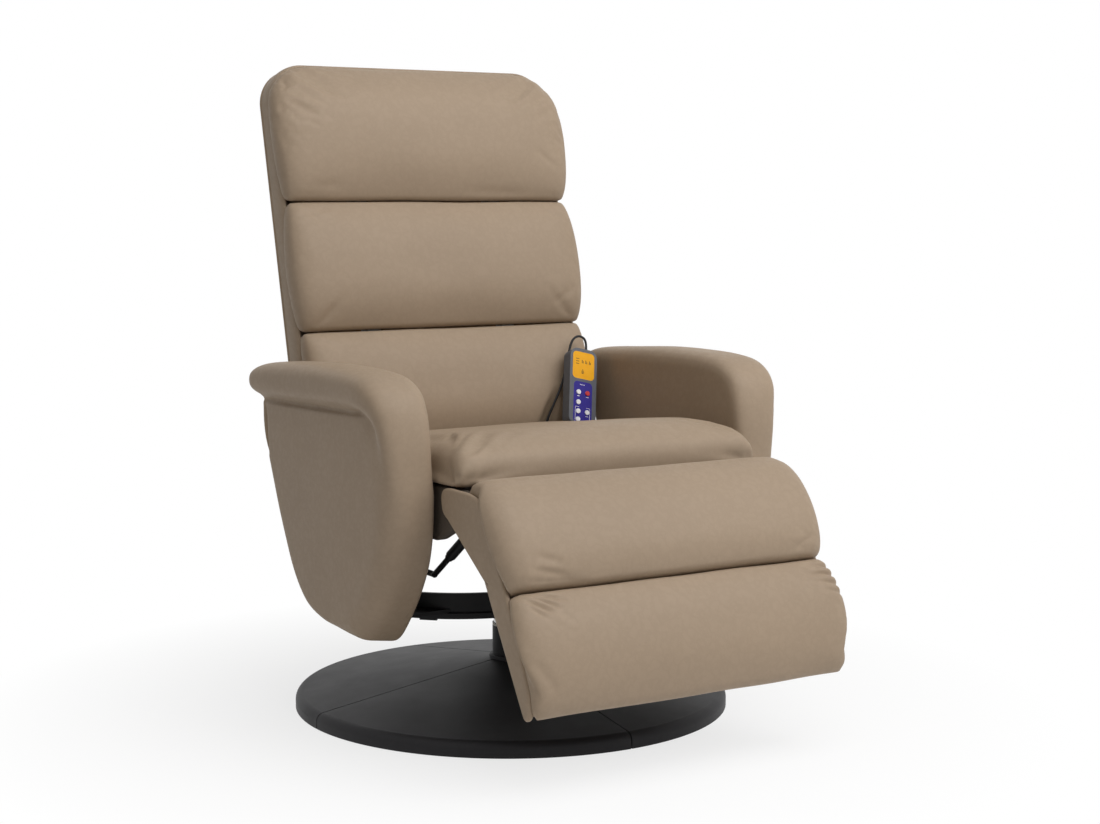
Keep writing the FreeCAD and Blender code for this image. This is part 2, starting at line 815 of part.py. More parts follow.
def make_pivot_pin(place):
    """Shouldered pin, pressed into the side plate, that a bracket turns on."""
    tip = bracket_inner_x - plate_gap
    shank = cylinder(pivot_pin_radius, V(tip, place[0], place[1]), across, plate_outer_x - tip)
    head = cylinder(pin_head_radius, V(tip - pin_head_height, place[0], place[1]), across, pin_head_height)
    return shank.fuse(head).removeSplitter()


def rod_stud(place):
    """Stud on a bracket's inner face that carries one eye of the push rod."""
    start = V(rod_inner_x - plate_gap, place[0], place[1])
    return cylinder(rod_pin_radius, start, across, bracket_inner_x - rod_inner_x + plate_gap)


def make_back_crank():
    """Bracket on the back upright, carried down past the pivot as a crank."""
    rear = back_pad_rear - back_frame_depth + plate_gap
    front = back_pad_rear - plate_gap - plate_gap
    pivot_along = (V(0, back_pivot_y, back_pivot_z) - back_point(0, 0, 0)).dot(back_up)
    stem_low = pivot_along - crank_width / 2
    stem_high = back_pad_bottom + crank_stem_length
    stem = back_box(bracket_inner_x, bracket_outer_x, stem_low, stem_high, rear, front)
    stem_foot = back_point(0, pivot_along, (rear + front) / 2)
    half_width = crank_width / 2 - plate_gap
    foot = strap(bracket_inner_x, bracket_outer_x, (stem_foot.y, stem_foot.z), back_pivot, half_width)
    arm = strap(bracket_inner_x, bracket_outer_x, back_pivot, crank_pin, half_width)
    hole = pin_hole(back_pivot, pivot_pin_radius + running_gap, bracket_inner_x, bracket_outer_x)
    return stem.fuse([foot, arm]).cut(hole).fuse(rod_stud(crank_pin)).removeSplitter()


def make_push_rod():
    """Bent rod from the back crank to the leg rest lever, with a turnbuckle on its climbing run."""
    middle_x = (rod_inner_x + rod_outer_x) / 2
    corners = [crank_pin, (rod_dip_y, rod_dip_z), (rod_knee_y, rod_knee_z), lever_pin]
    places = [V(middle_x, *corner) for corner in corners]
    runs = [cylinder(rod_radius, a, b - a, (b - a).Length) for a, b in zip(places, places[1:])]
    balls = [Part.makeSphere(rod_radius + rod_bend_swell, place) for place in places[1:-1]]
    climb = (places[2] - places[1]).normalize()
    start = places[1] + climb * knuckle_start
    knuckle = cylinder(knuckle_radius, start, climb, knuckle_length)
    nuts = [cylinder(knuckle_nut_radius, start - climb * knuckle_nut_length, climb, knuckle_nut_length),
            cylinder(knuckle_nut_radius, start + climb * knuckle_length, climb, knuckle_nut_length)]
    eyes = [cylinder(rod_eye_radius, V(rod_inner_x, place.y, place.z), across, rod_eye_width)
            for place in (places[0], places[-1])]
    rod = runs[0].fuse(runs[1:] + balls + [knuckle] + nuts + eyes).removeSplitter()
    return rod.cut([pin_hole(crank_pin, rod_pin_radius + running_gap, rod_inner_x, rod_outer_x),
                    pin_hole(lever_pin, rod_pin_radius + rod_lost_motion, rod_inner_x, rod_outer_x)])


# Leg rest
leg_lean = math.radians(leg_board_lean_deg)
leg_down = V(0, -math.sin(leg_lean), -math.cos(leg_lean))
leg_out = V(0, -math.cos(leg_lean), math.sin(leg_lean))


def leg_point(x, along, out):
    return V(x, leg_board_y, leg_board_z) + leg_down * along + leg_out * out


def leg_box(x0, x1, along0, along1, out0, out1):
    corners = [leg_point(x0, along0, out0), leg_point(x0, along1, out0),
               leg_point(x0, along1, out1), leg_point(x0, along0, out1)]
    return polygon_face(corners).extrude(across * (x1 - x0))


def make_leg_board():
    half = leg_half_width - leg_board_side
    return leg_box(-half, half, 0, leg_board_length, 0, leg_board_thickness)


def make_leg_lever():
    """Bracket under the leg board: turns on the leg pivot and carries the push rod's pin."""
    flange_end = leg_flange_start + leg_flange_length
    flange = leg_box(bracket_inner_x, bracket_outer_x, leg_flange_start, flange_end, -leg_flange_height, 0)
    root = leg_point(0, leg_flange_start + leg_flange_height, -leg_flange_height / 2)
    lever = strap(bracket_inner_x, bracket_outer_x, leg_pivot, lever_pin, leg_lever_half_width)
    brace = strap(bracket_inner_x, bracket_outer_x, lever_pin, (root.y, root.z), leg_flange_height / 2)
    hole = pin_hole(leg_pivot, pivot_pin_radius + running_gap, bracket_inner_x, bracket_outer_x)
    return flange.fuse([lever, brace]).cut(hole).fuse(rod_stud(lever_pin)).removeSplitter()


def leg_pivot_round(x, turn_deg, radius):
    turn = math.radians(turn_deg)
    return V(x, leg_pivot_y + radius * math.cos(turn), leg_pivot_z + radius * math.sin(turn))


def upper_leg_profile(x, swell):
    """Upper leg pad: round about the leg pivot, full over the shin, drawn in at the crease."""
    full = leg_side_share + (1 - leg_side_share) * swell
    radius = leg_pad_end_radius * (1 - (1 - full) / 2)
    base = leg_board_thickness + soft_gap
    crease = leg_crease - soft_gap
    rounds = [leg_pivot_round(x, turn, radius) for turn in leg_round_turns_deg]
    top, shoulder, behind, hollow, under = rounds
    board_end = leg_point(x, crease, base)
    lip = leg_point(x, crease, leg_crease_depth * full)
    crown_out = leg_crease_depth + (leg_upper_crown - leg_crease_depth) * full
    crown = leg_point(x, leg_crease * upper_crown_share, crown_out)
    low = leg_point(x, -soft_gap, base)
    start = leg_point(x, -soft_gap, -soft_gap)
    edges = [arc(top, shoulder, behind), arc(behind, hollow, under), line(under, start), line(start, low),
             line(low, board_end), line(board_end, lip), arc(lip, crown, top)]
    return Part.Wire(edges)


def lower_leg_profile(x, swell):
    """Lower leg pad: full below the crease, rolled round the toe of the board."""
    full = leg_side_share + (1 - leg_side_share) * swell
    base = leg_board_thickness + soft_gap
    crease = leg_crease + soft_gap
    toe = leg_board_length + (leg_toe_length - leg_board_length) * full
    lip = leg_point(x, crease, leg_crease_depth * full)
    crown = leg_point(x, crease + (toe - crease) * lower_crown_share, leg_lower_crown * full)
    shoulder = leg_point(x, toe - leg_toe_depth * full * toe_round_share, leg_toe_depth * full + base)
    tip = leg_point(x, toe, base)
    edges = [line(leg_point(x, crease, base), lip), arc(lip, crown, shoulder),
             arc(shoulder, leg_point(x, toe, (leg_toe_depth * full + base + base) / 2), tip),
             line(tip, leg_point(x, crease, base))]
    return Part.Wire(edges)


notch_inner_x = bracket_inner_x - plate_gap - pin_head_height - notch_margin


def leg_notches():
    """Room in the upper pad's round end for the side plates, levers and their pins."""
    reach = leg_pad_end_radius * notch_reach_share
    rim = [leg_pivot_round(notch_inner_x, turn, reach) for turn in notch_turns_deg]
    hub = leg_pivot_round(notch_inner_x, leg_round_turns_deg[0], notch_hub_radius)
    front = leg_pivot_round(notch_inner_x, 180, notch_hub_radius)
    wide = plate_outer_x + notch_margin - notch_inner_x
    wedge = polygon_face([hub, front] + rim).extrude(across * wide)
    return [wedge, mirrored(wedge)]


def make_upper_leg_pad():
    pad = loft([upper_leg_profile(share * leg_upper_half_width, swell) for share, swell in pad_stations()])
    return pad.cut(leg_notches())


def make_lower_leg_pad():
    return loft([lower_leg_profile(share * leg_half_width, swell) for share, swell in pad_stations()])


# Arm fixings between the seat box and the arm panels


def arm_bolt_holes():
    start = seat_side_outer_x - seat_board - cut_overrun
    length = arm_inner_x + arm_bolt_bite - start
    radius = arm_bolt_radius + press_gap
    holes = [cylinder(radius, V(start, y, z), across, length) for y, z in arm_bolt_places]
    return holes + [mirrored(hole) for hole in holes]


def make_arm_bolts():
    """Bolts from inside the seat box into the arms, each with a spacer collar in the gap."""
    inner = seat_side_outer_x - seat_board
    bolts = []
    for y, z in arm_bolt_places:
        shank = cylinder(arm_bolt_radius, V(inner, y, z), across, arm_inner_x + arm_bolt_bite - inner)
        head = cylinder(arm_bolt_head, V(inner - arm_bolt_head_height, y, z), across, arm_bolt_head_height)
        gap = arm_inner_x - seat_side_outer_x
        collar = cylinder(arm_spacer_radius, V(seat_side_outer_x, y, z), across, gap)
        bolts.append(shank.fuse([head, collar]).removeSplitter())
    return Part.makeCompound(bolts + [mirrored(bolt) for bolt in bolts])


# Vibration motors: sealed round units with a raised bearing boss
def make_motor(place, axis):
    can = cylinder(motor_radius, place, axis, motor_length - motor_boss_height)
    boss = cylinder(motor_boss_radius, place, axis, motor_length)
    return can.fuse(boss).removeSplitter()


seat_motor_floor = seat_box_top - motor_length - plate_gap


def seat_motor_places():
    return [V(side * seat_motor_x, seat_motor_y, seat_motor_floor) for side in (-1, 1)]


def make_seat_motor_rail():
    half = plate_inner_x
    low = V(-half, seat_motor_y - seat_motor_rail_width / 2, seat_box_top - seat_motor_rail_thickness)
    rail = box_between(low, V(half, seat_motor_y + seat_motor_rail_width / 2, seat_box_top))
    holes = [cylinder(motor_radius + motor_hole_gap, place, up, seat_motor_rail_thickness)
             for place in seat_motor_places()]
    return rail.cut(holes)


# Under-seat electrics on the rear board
rear_board_y = seat_box_rear - seat_board


def make_control_box():
    low = V(-control_box_width / 2, rear_board_y - control_box_depth, seat_box_bottom)
    box = Part.makeBox(control_box_width, control_box_depth, control_box_height, low)
    return box.makeFillet(control_box_edge, box.Edges)


def make_power_inlet():
    start = V(-control_box_width / 2, seat_box_rear, inlet_z)
    return tube(inlet_radius, inlet_bore, start, rearward, inlet_length)


def make_cord_grommet():
    start = V(grommet_x, seat_box_rear, grommet_z)
    ring = cylinder(grommet_radius, start, rearward, grommet_length)
    outer = [e for e in ring.Edges if e.BoundBox.YMin > seat_box_rear + grommet_length / 2]
    return ring.makeFillet(grommet_edge, outer)


# Handset leaning in the corner of the seat and the back
handset_lean = math.radians(handset_lean_deg)
handset_roll = math.radians(handset_roll_deg)
handset_spine = V(0, math.sin(handset_lean), math.cos(handset_lean))
handset_up = handset_spine * math.cos(handset_roll) + across * math.sin(handset_roll)
handset_right = across * math.cos(handset_roll) - handset_spine * math.sin(handset_roll)
handset_out = V(0, -math.cos(handset_lean), math.sin(handset_lean))
handset_face = handset_depth / 2
handset_split = handset_depth * handset_split_share - handset_depth / 2


def handset_point(x, along, out):
    foot = V(handset_x, handset_foot_y, handset_foot_z)
    return foot + handset_right * x + handset_up * along + handset_out * out


def handset_plate(half_width, low, high, out0, out1, corner):
    """Rounded plate in the handset's own directions."""
    bend = corner * (1 - math.sin(math.pi / 4))
    spots = [(half_width - corner, low), (half_width - bend, low + bend), (half_width, low + corner),
             (half_width, high - corner), (half_width - bend, high - bend), (half_width - corner, high),
             (corner - half_width, high), (bend - half_width, high - bend), (-half_width, high - corner),
             (-half_width, low + corner), (bend - half_width, low + bend), (corner - half_width, low)]
    p = [handset_point(x, along, out0) for x, along in spots]
    edges = [arc(p[0], p[1], p[2]), line(p[2], p[3]), arc(p[3], p[4], p[5]), line(p[5], p[6]),
             arc(p[6], p[7], p[8]), line(p[8], p[9]), arc(p[9], p[10], p[11]), line(p[11], p[0])]
    return Part.Face(Part.Wire(edges)).extrude(handset_out * (out1 - out0))


def handset_half(out0, out1, cavity0, cavity1):
    body = handset_plate(handset_width / 2, 0, handset_length, out0, out1, handset_corner)
    cavity = handset_plate(handset_width / 2 - handset_wall, handset_wall, handset_length - handset_wall,
                           cavity0, cavity1, handset_corner - handset_wall)
    return body.cut(cavity)


window_low = handset_length - window_top_margin - window_length
keypad_high = keypad_bottom_margin + keypad_length


def button_spot(side, row):
    along = keypad_bottom_margin + keypad_length * button_row_shares[row]
    return side * keypad_width * button_column_share, along


def button_holes(radius):
    spots = [button_spot(*place) for place in button_places.values()]
    start = handset_split
    return [cylinder(radius, handset_point(x, along, start), handset_out, handset_depth)
            for x, along in spots]


def make_handset_rear():
    floor = handset_wall - handset_face
    return handset_half(-handset_face, handset_split, floor, handset_split + cut_overrun)


def window_seat():
    return handset_plate(window_width / 2, window_low, handset_length - window_top_margin,
                         handset_face - window_thickness, handset_face + cut_overrun, handset_corner / 2)


def keypad_seat(out1):
    floor = handset_face - window_thickness
    return handset_plate(keypad_width / 2, keypad_bottom_margin, keypad_high, floor,
                         out1, handset_corner / 2)


def make_handset_front():
    ceiling = handset_face - handset_wall - window_thickness
    shell = handset_half(handset_split, handset_face, handset_split - cut_overrun, ceiling)
    seats = [window_seat(), keypad_seat(handset_face + cut_overrun)]
    return shell.cut(seats + button_holes(button_radius + button_gap))


def make_window():
    return handset_plate(window_width / 2 - press_gap, window_low + press_gap,
                         handset_length - window_top_margin - press_gap,
                         handset_face - window_thickness, handset_face, handset_corner / 2)


def make_keypad():
    low = keypad_bottom_margin + press_gap
    pad = handset_plate(keypad_width / 2 - press_gap, low, keypad_high - press_gap,
                        handset_face - window_thickness, handset_face, handset_corner / 2)
    return pad.cut(button_holes(button_radius + button_gap))


def make_button(place):
    x, along = button_spot(*place)
    top = handset_face + button_stand
    foot = handset_point(x, along, top - button_height)
    button = cylinder(button_radius, foot, handset_out, button_height)
    face = handset_point(0, 0, handset_face)
    top_edges = [e for e in button.Edges if (e.CenterOfMass - face).dot(handset_out) > 0
                 and e.Closed]
    return button.makeFillet(button_gap + button_gap, top_edges)


def make_handset_board():
    button_foot = handset_face + button_stand - button_height - button_travel - button_gap
    return handset_plate(handset_width / 2 - handset_wall - press_gap, handset_wall + press_gap,
                         handset_length - handset_wall - press_gap,
                         button_foot - handset_board_thickness, button_foot, handset_corner - handset_wall)


def handset_dent():
    """The hollow that the handset's foot presses into the seat cushion."""
    return handset_plate(handset_width / 2 + handset_dent_gap, -handset_dent_gap, handset_length,
                         -handset_face - handset_dent_gap, handset_face + handset_dent_gap, handset_corner)


def make_strain_relief():
    start = handset_point(relief_side, handset_length, handset_split / 2 - handset_face / 2)
    cone = Part.makeCone(relief_radius, cord_radius + running_gap, relief_length, start, handset_up)
    return cone


# Handset cord: from the strain relief over the handset's top and down into the seat's rear gap


def cord_points():
    start = handset_point(relief_side, handset_length + relief_length, handset_split / 2 - handset_face / 2)
    end = V(grommet_x, seat_box_rear + grommet_length, grommet_z)
    return [start] + [V(*point) for point in cord_route] + [end]


def cord_path(points):
    """Straight runs joined by tangent arcs, each as large as its two runs allow."""
    edges = []
    radii = []
    last = points[0]
    for before, corner, after in zip(points, points[1:], points[2:]):
        into = corner - before
        away = after - corner
        setback = cord_arc_share * min(into.Length, away.Length)
        turn = into.getAngle(away)
        radii.append(setback / math.tan(turn / 2))
        into.normalize()
        away.normalize()
        start = corner - into * setback
        end = corner + away * setback
        inward = (away - into).normalize()
        sag = radii[-1] / math.cos(turn / 2) - radii[-1]
        edges += [line(last, start), arc(start, corner + inward * sag, end)]
        last = end
    edges.append(line(last, points[-1]))
    return Part.Wire(edges), radii


def make_handset_cord():
    points = cord_points()
    path, radii = cord_path(points)
    print("cord radii", [round(radius, 1) for radius in radii])
    first = points[1] - points[0]
    section = Part.Wire(Part.Circle(points[0], first, cord_radius).toShape())
    sweep = Part.BRepOffsetAPI.MakePipeShell(path)
    sweep.add(section)
    sweep.build()
    sweep.makeSolid()
    solid = sweep.shape()
    area = math.pi * cord_radius * cord_radius
    share = solid.Volume / (area * path.Length)
    print("cord length", round(path.Length, 1), "volume share", round(share, 4))
    return solid


# Build every piece
save("base_plate", make_base_plate())
save("base_feet", make_base_feet())
cover_ring = make_cover_ring()
cover_quarters = {"front_left": (1, -1), "front_right": (-1, -1),
                  "rear_left": (1, 1), "rear_right": (-1, 1)}
for quarter, sides in cover_quarters.items():
    save("base_cover_" + quarter, make_cover_panel(cover_ring, *sides))
save("base_cover_screws", make_panel_screws())
save("column_tube", make_column_tube())
save("column_bolts", make_column_bolts())
save("column_collar", make_column_collar())
save("column_bushes", make_column_bushes())
save("thrust_washer", make_thrust_washer())

save("swivel_spindle", make_spindle())
save("swivel_plate", make_swivel_plate())
save("chassis_rails", make_chassis_rails())
save("hoop_frame", make_hoop())
save("arm_bars", make_arm_bars())

seat_side = make_seat_side().cut(arm_bolt_holes())
save("seat_side_boards", both_sides(seat_side))
front_board = make_seat_cross_board(seat_front_board_y, seat_box_bottom + seat_nose_rise)
cross_boards = [front_board, make_seat_cross_board(rear_board_y, seat_box_bottom)]
save("seat_cross_boards", Part.makeCompound(cross_boards))
save("seat_webbing", make_seat_webbing())
save("seat_cushion", make_seat_pad().cut(handset_dent()))
save("seat_motor_rail", make_seat_motor_rail())
save("seat_motors", Part.makeCompound([make_motor(place, up) for place in seat_motor_places()]))

arm_roll = make_arm_roll()
arm_panel = make_arm_panel(arm_roll).cut(arm_bolt_holes())
save("arm_panel_left", arm_panel)
save("arm_panel_right", mirrored(arm_panel))
save("arm_roll_left", arm_roll)
save("arm_roll_right", mirrored(arm_roll))
save("side_pocket", mirrored(make_side_pocket(arm_roll)))
save("arm_bolts", make_arm_bolts())

save("side_plates", both_sides(make_side_plate()))
pins = [make_pivot_pin(place) for place in (back_pivot, leg_pivot)]
save("pivot_pins", Part.makeCompound(pins + [mirrored(pin) for pin in pins]))
save("push_rods", both_sides(make_push_rod()))

save("control_box", make_control_box())
save("power_inlet", make_power_inlet())
save("cord_grommet", make_cord_grommet())

save("back_shell", make_back_shell())
save("back_uprights", make_back_uprights())
save("back_rails", make_back_rails())
save("back_motors", Part.makeCompound([make_motor(place, back_out) for place in back_motor_places()]))
save("lumbar_pad", make_back_pad(back_pad_bottom, 0, lumbar_half_width))
save("middle_pad", make_back_pad(0, back_crease_upper, back_half_width))
save("head_pad", make_head_pad())
save("back_cranks", both_sides(make_back_crank()))

save("leg_board", make_leg_board())
save("leg_levers", both_sides(make_leg_lever()))
save("leg_pad_upper", make_upper_leg_pad())
save("leg_pad_lower", make_lower_leg_pad())

save("handset_rear_shell", make_handset_rear())
save("handset_front_shell", make_handset_front())
save("handset_window", make_window())
save("handset_keypad", make_keypad())
save("handset_board", make_handset_board())
for button_name, button_place in button_places.items():
    save(button_name, make_button(button_place))
save("strain_relief", make_strain_relief())
save("handset_cord", make_handset_cord())
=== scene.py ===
# %% [markdown]
# # A swivel massage recliner, dressed over its CAD frame
# The chair arrives as rigid solids that already know their sizes and joints. Everything soft on it is
# made again here as leather and filling, and everything hard gets a finish. The frame is loaded first,
# because each leather piece is shaped against it, in the same coordinates.

# %% Load the frame and note its size
import json
import math
import bpy
import bmesh
import numpy as np
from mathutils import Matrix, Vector


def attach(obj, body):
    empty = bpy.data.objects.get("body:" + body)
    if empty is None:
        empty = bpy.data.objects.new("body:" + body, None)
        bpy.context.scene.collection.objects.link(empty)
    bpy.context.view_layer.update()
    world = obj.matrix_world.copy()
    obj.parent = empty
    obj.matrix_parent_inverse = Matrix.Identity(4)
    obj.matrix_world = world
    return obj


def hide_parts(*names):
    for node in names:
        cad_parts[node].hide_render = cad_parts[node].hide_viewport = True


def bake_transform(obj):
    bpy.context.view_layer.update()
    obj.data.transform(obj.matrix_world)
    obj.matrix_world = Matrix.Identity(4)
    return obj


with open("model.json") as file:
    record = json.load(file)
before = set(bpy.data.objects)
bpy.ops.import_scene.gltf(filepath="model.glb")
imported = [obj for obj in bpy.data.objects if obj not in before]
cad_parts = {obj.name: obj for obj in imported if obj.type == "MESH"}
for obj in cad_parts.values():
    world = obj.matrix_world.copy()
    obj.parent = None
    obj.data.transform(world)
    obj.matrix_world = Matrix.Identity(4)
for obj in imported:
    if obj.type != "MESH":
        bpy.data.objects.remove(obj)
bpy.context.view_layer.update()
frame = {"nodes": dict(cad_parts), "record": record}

MM = 0.001

# %% [markdown]
# ## Camera
# The chair was photographed from its right front, a little above the seat, with a longish lens. A camera
# in Blender looks down its own -Z, so a tracking rotation turns that axis along the line of sight. The
# lamps further on are aimed in the same way.

# %% Place the camera
CAMERA_PLACE = (-1.6094, -2.6966, 0.8038)
CAMERA_SIGHT = (0.5265, 0.8435, -0.1065)


def add_object(name, data):
    """A new object for some data, linked into the scene."""
    thing = bpy.data.objects.new(name, data)
    bpy.context.scene.collection.objects.link(thing)
    return thing


def set_up(thing, place, sight):
    """Stand a camera or a lamp at a place and turn it along its line of sight."""
    thing.location = place
    thing.rotation_euler = Vector(sight).to_track_quat("-Z", "Y").to_euler()


camera_data = bpy.data.cameras.new("camera")
camera_data.sensor_fit = "HORIZONTAL"
camera_data.sensor_width = 36.0
camera_data.lens = 65.02
camera = add_object("camera", camera_data)
set_up(camera, CAMERA_PLACE, CAMERA_SIGHT)
bpy.context.scene.camera = camera
bpy.context.scene.view_settings.view_transform = "Standard"
print("camera at", [round(v, 3) for v in CAMERA_PLACE])

# %% [markdown]
# ## Shader recipes
# A shader is a tree of nodes. An input of a node holds a plain value or takes a link from another node's
# output, so a helper that does whichever fits keeps every recipe below short. Inputs and outputs know the
# tree they belong to (id_data), so it is named only where a recipe starts.

# %% Shader helpers
WHITE = (1, 1, 1, 1)


def put(socket, value):
    """Link an output to an input, or set the input to a plain value."""
    if isinstance(value, bpy.types.NodeSocket):
        socket.id_data.links.new(value, socket)
    else:
        socket.default_value = value


def feed(node, **values):
    """Put values into a node's inputs, named with underscores for spaces."""
    for label, value in values.items():
        put(node.inputs[label.replace("_", " ")], value)
    return node


def add_node(tree, kind, **values):
    return feed(tree.nodes.new("ShaderNode" + kind), **values)


def math_node(operation, *values, clamp=False):
    """A math node fed by outputs or plain numbers; gives its own output."""
    tree = next(value.id_data for value in values if isinstance(value, bpy.types.NodeSocket))
    node = add_node(tree, "Math")
    node.operation = operation
    node.use_clamp = clamp
    for socket, value in zip(node.inputs, values):
        put(socket, value)
    return node.outputs[0]


def times(first, second, clamp=False):
    return math_node("MULTIPLY", first, second, clamp=clamp)


def plus(first, second, clamp=False):
    return math_node("ADD", first, second, clamp=clamp)


def minus(first, second, clamp=False):
    return math_node("SUBTRACT", first, second, clamp=clamp)


def new_finish(name):
    material = bpy.data.materials.new(name)
    material.use_nodes = True
    return material, material.node_tree, material.node_tree.nodes["Principled BSDF"]


# %% [markdown]
# ## Floor and light
# A pale studio floor keeps the chair's own soft shadow, and a white world closes it off. Light Path
# tells the shader which rays come from the camera, so the background can be white without
# pouring more light on the leather. Three large area lamps give soft, even studio light.

# %% Build the floor, the world and the lamps
FLOOR_REACH = 14.0
AMBIENT_STRENGTH = 0.245
LAMPS = (("key_lamp", (1.5, -2.4, 2.4), (0.0, -0.2, 0.4), (2.2, 2.2), 42.0),
         ("top_lamp", (0.2, -1.4, 2.9), (0.0, -0.2, 0.3), (2.6, 2.2), 46.0),
         ("fill_lamp", (-3.0, -1.4, 1.5), (0.0, 0.0, 0.45), (2.2, 2.0), 1.5))


def white_to_the_eye(shader, white, share, end):
    """Show a share of plain white, instead of the shader, to camera, glossy and transmitted rays."""
    tree = shader.id_data
    rays = add_node(tree, "LightPath").outputs
    either = math_node("MAXIMUM", rays["Is Camera Ray"], rays["Is Glossy Ray"])
    any_ray = math_node("MAXIMUM", either, rays["Is Transmission Ray"])
    mix = add_node(tree, "MixShader")
    for socket, value in zip(mix.inputs, (times(any_ray, share), shader, white)):
        put(socket, value)
    feed(tree.nodes[end], Surface=mix.outputs[0])


def make_floor():
    mesh = bpy.data.meshes.new("floor")
    corners = ((-1, -1), (1, -1), (1, 1), (-1, 1))
    mesh.from_pydata([(x * FLOOR_REACH, y * FLOOR_REACH, 0) for x, y in corners], [], [(0, 1, 2, 3)])
    floor = add_object("floor", mesh)
    material, tree, shader = new_finish("studio_floor")
    feed(shader, Base_Color=(0.92, 0.92, 0.92, 1), Roughness=0.9, Specular_IOR_Level=0.1)
    glow = add_node(tree, "Emission", Color=WHITE)
    away = add_node(tree, "VectorMath")
    away.operation = "LENGTH"
    put(away.inputs[0], add_node(tree, "NewGeometry").outputs["Position"])
    fade = add_node(tree, "MapRange", Value=away.outputs["Value"],
                    From_Min=0.36, From_Max=0.88, To_Min=0.76, To_Max=1.0)
    white_to_the_eye(shader.outputs[0], glow.outputs[0], fade.outputs[0], "Material Output")
    mesh.materials.append(material)


def make_world(strength):
    world = bpy.data.worlds.new("studio")
    bpy.context.scene.world = world
    world.use_nodes = True
    tree = world.node_tree
    ambient = feed(tree.nodes["Background"], Color=(1.0, 0.985, 0.965, 1), Strength=strength)
    white = add_node(tree, "Background", Color=WHITE, Strength=1.0)
    white_to_the_eye(ambient.outputs[0], white.outputs[0], 1.0, "World Output")


make_floor()
make_world(AMBIENT_STRENGTH)
for name, place, target, size, power in LAMPS:
    data = bpy.data.lights.new(name, "AREA")
    data.shape = "RECTANGLE"
    data.size, data.size_y = size
    data.energy = power
    set_up(add_object(name, data), place, Vector(target) - Vector(place))
print("lamps:", [row[0] for row in LAMPS])

# %% [markdown]
# ## Handset cord
# A thin black lead leaves the top of the handset, loops over and drops down behind the cushion to a
# grommet in the seat box. A lead bends in one flowing line, so its route is a NURBS curve with a round
# bevel: the control points pull the line towards them and it never kinks.

# %% Lay the cord
CORD_DIAMETER = 0.004
cord_route = [(240.6, 150.5, 549.2), (243.9, 155.0, 561.6), (235.5, 157.0, 570.5), (224, 157.5, 570.5),
              (215, 157.5, 562), (208.5, 156.5, 541), (199, 150, 514), (188, 146, 489), (177, 147, 465),
              (169, 151, 445), (164, 155, 428), (158.5, 157, 411), (154, 155, 393), (151, 146, 378),
              (150, 131, 368), (150, 113, 363), (150, 95, 361.5), (150, 78, 361)]

curve = bpy.data.curves.new("handset_lead", "CURVE")
curve.dimensions = "3D"
curve.bevel_depth = CORD_DIAMETER / 2
curve.bevel_resolution = 5
curve.resolution_u = 10
curve.use_fill_caps = True
spline = curve.splines.new("NURBS")
spline.points.add(len(cord_route) - 1)
for point, (x, y, z) in zip(spline.points, cord_route):
    point.co = (x * MM, y * MM, z * MM, 1)
spline.order_u = 3
spline.use_endpoint_u = True
handset_lead = add_object("handset_lead", curve)
print("cord points:", len(cord_route))

# %% [markdown]
# ## Effects that several finishes share
# Grain, tone and rubbed edges turn up on many surfaces, so each is a node group: built once, placed in
# every material that needs it, with its own values. All of them read object coordinates, because the
# pieces are remeshed and have no UVs, and so the grain has its true size in metres on every piece.

# %% Node group helpers
shared = {}


def new_group(name, inputs, outputs):
    """An empty shared group of floats; gives its tree, what it is given and the node it ends in."""
    group = bpy.data.node_groups.new(name, "ShaderNodeTree")
    for label, value in inputs.items():
        socket = group.interface.new_socket(label, in_out="INPUT", socket_type="NodeSocketFloat")
        socket.default_value = value
    for label in outputs:
        group.interface.new_socket(label, in_out="OUTPUT", socket_type="NodeSocketFloat")
    shared[name] = group
    given = group.nodes.new("NodeGroupInput").outputs
    return group, given, group.nodes.new("NodeGroupOutput")


def object_place(tree):
    return add_node(tree, "TexCoord").outputs["Object"]


def noise(place, scale, detail, roughness=0.55):
    node = add_node(place.id_data, "TexNoise", Vector=place, Scale=scale)
    return feed(node, Detail=detail, Roughness=roughness).outputs["Fac"]


# %% Leather grain: pebbles, pores and fine creases
def make_leather_grain():
    group, given, end = new_group("leather_grain", {"Pebbles per metre": 420.0, "Crease depth": 0.35},
                                  ("Height", "Furrow"))
    place, per_metre = object_place(group), given["Pebbles per metre"]
    pebbles = add_node(group, "TexVoronoi")
    pebbles.feature = "SMOOTH_F1"
    feed(pebbles, Vector=place, Scale=per_metre, Smoothness=0.35)
    dome = minus(1.0, pebbles.outputs["Distance"])
    pores = noise(place, times(per_metre, 2.6), 2.0)
    creases = noise(place, times(per_metre, 0.16), 4.0)
    folded = math_node("ABSOLUTE", minus(creases, 0.5))
    furrow = minus(1.0, times(folded, 9.0, clamp=True), clamp=True)
    grain = plus(times(dome, 0.7), times(pores, 0.3))
    deep = times(furrow, given["Crease depth"])
    feed(end, Height=minus(grain, deep), Furrow=furrow)


# %% Tone drift: slow changes of colour over a hide, a moulding or a coat of paint
def make_tone_drift():
    group, given, end = new_group("tone_drift", {"Patches per metre": 7.0, "Strength": 0.1}, ("Tone",))
    place, per_metre = object_place(group), given["Patches per metre"]
    broad = noise(place, per_metre, 3.0)
    fine = noise(place, times(per_metre, 9.0), 2.0)
    mixed = plus(times(broad, 0.7), times(fine, 0.3))
    swing = times(minus(mixed, 0.5), given["Strength"])
    feed(end, Tone=plus(swing, 1.0))


